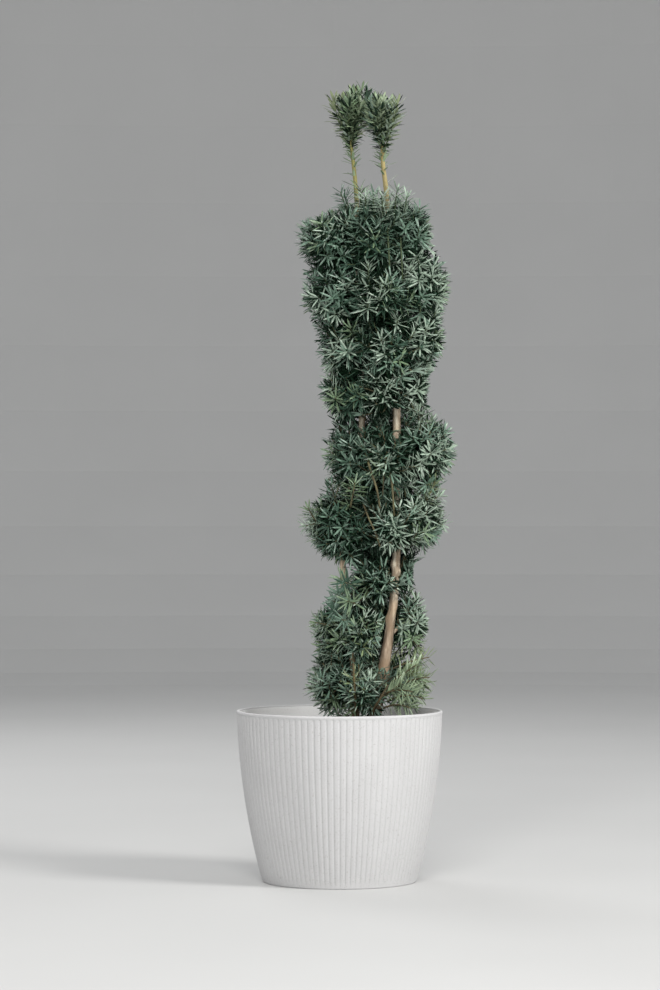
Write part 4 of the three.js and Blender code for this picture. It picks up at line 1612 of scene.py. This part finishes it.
    def _leader_needles(self, mass: Mass, rng: Random) -> Blades:
        """Needles on the leader below a tuft: a few low down, and more towards the tuft.

        Args:
            mass: The tuft.
            rng: Deals which needles grow.

        Returns:
            The needles, shorter than those of the tuft.
        """
        low, high = self.leader_needles
        line = np.array([mass.carrier.at_height(z) for z in np.linspace(low, high, 4)])
        grown = self._needles(Shoots.along(line, Tint.FRESH), self.sparse, rng)
        chance = 0.12 + 0.88 * smoothstep(655, 672, grown.roots[:, 2])
        kept = grown.kept(rng.uniform(0, 1, len(chance)) < chance)
        short = 0.95 - 0.2 * smoothstep(self.tufts_from, high, kept.roots[:, 2])
        return replace(kept, lengths=kept.lengths * short)

    def _trimmed(self, mass: Mass, blades: Blades) -> Blades:
        """Shortens needles until their tips and middles keep to the mass's space, and drops the rest."""
        grown = np.zeros(len(blades.roots), bool)
        lengths = blades.lengths.copy()
        for part in self.trims:
            tried = replace(blades, lengths=blades.lengths * part)
            fits = self._in_own_space(mass, tried.tip(1.0), reach=1.04, slack=14.0, gap=0.6)
            fits &= self._in_own_space(mass, tried.tip(0.55), reach=1.04, slack=20.0, gap=0.6)
            lengths = np.where(fits & ~grown, tried.lengths, lengths)
            grown |= fits
        return replace(blades, lengths=lengths).kept(grown)

    # Pieces

    def bark_pieces(self) -> list[bpy.types.Object]:
        """The trunk, the second stem and the boughs, with their bark's relief."""
        rng = np.random.default_rng(self.seed)
        bark, olive = self.bark.material(), self.olive_bark.material()
        trunk = self.trunk.bark(rings=520, sides=40, shred=0.42, rng=rng)
        trunk = trunk.piece("trunk_bark", [bark])
        second = self.second_stem.bark(rings=420, sides=28, shred=0.26, rng=rng)
        second = second.piece("second_stem_bark", [olive])
        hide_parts("trunk")
        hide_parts("second_stem")
        bearing = [mass for mass in self.masses if mass.bough]
        parts = [mass.bough.bark(rings=28, sides=16, shred=0.16, rng=rng) for mass in bearing]
        parts += [mass.stem.bark(rings=16, sides=10, shred=0.1, rng=rng) for mass in self.masses]
        boughs = Surface.joined(parts).piece("boughs_bark", [bark])
        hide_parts(*(mass.node.replace("foliage", "bough") for mass in bearing))
        return [trunk, second, boughs]

    def _grown(self, mass: Mass, rng: Random) -> tuple[list[Surface], Blades]:
        """Grows a mass's twigs and shoots, and the needles on them.

        Args:
            mass: A clipped mass or a tuft.
            rng: Deals their places.

        Returns:
            The wood's surfaces, and the needles.
        """
        wood = []
        if mass.side is Side.TUFT:
            shoots = self._tuft_shoots(mass, rng)
            crowded = self._needles(shoots, self.brush, rng)
            needles = Blades.joined([crowded, self._leader_needles(mass, rng)])
        else:
            twigs = self._twigs(mass, rng)
            wood.append(tubes(twigs, tapered(len(twigs), twigs.shape[1], thick=1.15, thin=0.8, sides=6)))
            shoots = self._shoots(mass, twigs, rng)
            habit = self.low_star if mass.tier == "skirt" else self.star
            needles = self._trimmed(mass, self._needles(shoots, habit, rng))
        wood.append(shoots.wood(rings=7, thick=0.8, thin=0.42, sides=5))
        return wood, needles

    def leafy_pieces(self) -> list[bpy.types.Object]:
        """The twigs as one piece, and the needles of each tier and of the tufts as one piece each."""
        rng = np.random.default_rng(self.seed + 1)
        thin = self.twig_bark.material()
        skins = needle_materials()
        wood: list[Surface] = []
        tiers: dict[str, list[Mass]] = {}
        blades: dict[str, list[Blades]] = {}
        for mass in self.masses:
            stalks, needles = self._grown(mass, rng)
            wood += stalks
            group = "tufts" if mass.side is Side.TUFT else mass.tier
            tiers.setdefault(group, []).append(mass)
            blades.setdefault(group, []).append(needles)
        flat = ("feathers", self.feathers, self.feather)
        for group, sprigs, habit in (("sprigs", self.missed, self.low_star), flat):
            shoots = Shoots.of(sprigs)
            wood.append(shoots.wood(rings=9, thick=0.95, thin=0.45, sides=6))
            blades[group] = [self._needles(shoots, habit, rng)]
        wood += [twig.bark(rings=20, sides=8, shred=0.08, rng=rng) for twig in self.bare_twigs]
        made = [Surface.joined(wood).piece("twigs", [thin])]
        for group, parts in blades.items():
            half_width = self.broad_half_width if group in ("tufts", "feathers") else self.needle_half_width
            surface = Blades.joined(parts).surface(half_width, self.needle_thickness)
            piece = surface.piece(f"needles_{group}", skins, smooth=False)
            if group in tiers:
                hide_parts(*(mass.node for mass in tiers[group]))
            made.append(piece)
        return made


# ---------------------------------------------------------------- studio


@dataclass(frozen=True)
class Lamp:
    """A square soft light: where it hangs and its side, in metres, its power and its colour."""

    name: str
    at: Triple
    size: float
    watts: float
    colour: Colour


@dataclass
class Studio:
    """A pale floor that turns up into a wall all round, soft lights and the camera."""

    floor_radius: float = 6000
    floor_dark: Colour = (0.56, 0.56, 0.555)
    floor_light: Colour = (0.60, 0.60, 0.595)
    wall_height: float = 3200
    wall_bend: float = 2600
    wall_thickness: float = 40
    bend_rings: int = 17
    columns: int = 96
    lamps: tuple[Lamp, ...] = (
        Lamp("key", (2.1, -1.3, 1.8), 0.8, 57, (1.0, 0.99, 0.97)),
        Lamp("front", (-0.2, -2.6, 1.9), 1.2, 51, (1.0, 0.99, 0.97)),
        Lamp("back", (-0.9, 1.6, 1.7), 1.2, 14, (1.0, 1.0, 1.0)),
    )
    lamps_look_at: Triple = (0.0, 0.0, 0.38)
    sky_colour: Colour = (0.97, 0.985, 1.0)
    sky_strength: float = 0.5
    camera_at: Triple = (-8.8, -3000, 342.5)
    camera_pitch: float = 0.283
    lens_mm: float = 117.7
    sensor_mm: float = 36

    def floor(self) -> bpy.types.Object:
        """The floor, level with the planter's underside, and the wall that it bends up into."""
        turn = np.linspace(0, math.pi / 2, self.bend_rings)
        radius = self.floor_radius - self.wall_bend * (1 - np.sin(turn))
        height = self.wall_bend * (1 - np.cos(turn))
        back = self.floor_radius + self.wall_thickness
        radius = np.concatenate([[0.5], radius, [self.floor_radius, back, back, 0.5]])
        height = np.concatenate([[0.0], height, [self.wall_height, self.wall_height, -20.0, -20.0]])
        radius, height = radius[::-1, None], height[::-1]
        recipe = Recipe("studio_floor")
        grain = recipe.noise(3, 2)
        colour = recipe.mixed(grain, self.floor_dark, self.floor_light)
        material = recipe.finish(Base_Color=colour, Roughness=0.7 + grain * 0.1)
        surface = turned(np.repeat(radius, self.columns, axis=1), height)
        made = surface.piece("studio_floor", [material], smooth=False)
        return made

    def light(self, lamp: Lamp) -> None:
        """Hangs a lamp, turned to the plant's middle."""
        data = bpy.data.lights.new(lamp.name, "AREA")
        data.shape, data.size, data.energy, data.color = "SQUARE", lamp.size, lamp.watts, lamp.colour
        made = bpy.data.objects.new(lamp.name, data)
        made.location = lamp.at
        target = np.array(self.lamps_look_at) - np.array(lamp.at)
        level = math.hypot(target[0], target[1])
        made.rotation_euler = (math.atan2(level, -target[2]), 0.0, math.atan2(-target[0], target[1]))
        bpy.context.scene.collection.objects.link(made)

    def sky(self) -> None:
        """The even light that comes from all round."""
        world = bpy.data.worlds.new("studio_sky")
        world.use_nodes = True
        background = world.node_tree.nodes["Background"]
        background.inputs["Color"].default_value = (*self.sky_colour, 1.0)
        background.inputs["Strength"].default_value = self.sky_strength
        bpy.context.scene.world = world

    def camera(self) -> None:
        """The camera, level with the plant's middle and a little to the left of its axis."""
        data = bpy.data.cameras.new("camera")
        data.lens, data.sensor_width, data.sensor_fit = self.lens_mm, self.sensor_mm, "AUTO"
        data.clip_start, data.clip_end = 0.05, 1000
        made = bpy.data.objects.new("camera", data)
        made.location = tuple(part * MM for part in self.camera_at)
        made.rotation_euler = (math.radians(90 + self.camera_pitch), 0, 0)
        bpy.context.scene.collection.objects.link(made)
        bpy.context.scene.camera = made

    def build(self) -> None:
        """Sets up the whole studio."""
        bpy.context.scene.view_settings.view_transform = "Standard"
        self.floor()
        self.camera()
        self.sky()
        for lamp in self.lamps:
            self.light(lamp)


def report(pieces: Iterable[bpy.types.Object]) -> None:
    """Lets pieces ride on the plant's one body, and logs each with its count of faces."""
    for piece in pieces:
        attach(piece, BODY)
        mesh = piece.data
        mesh.calc_loop_triangles()
        log.info("%s: %d triangles", piece.name, len(mesh.loop_triangles))


def main() -> None:
    """Builds the studio, the planter, the compost and the plant."""
    logging.basicConfig(level=logging.INFO, format="%(name)s %(message)s")
    Studio().build()
    planter = Planter()
    report([planter.build()])
    compost = Compost(planter)
    report(compost.build())
    evergreen = Evergreen(planter, compost.top)
    report(evergreen.bark_pieces())
    report(evergreen.leafy_pieces())


if __name__ == "__main__":
    main()
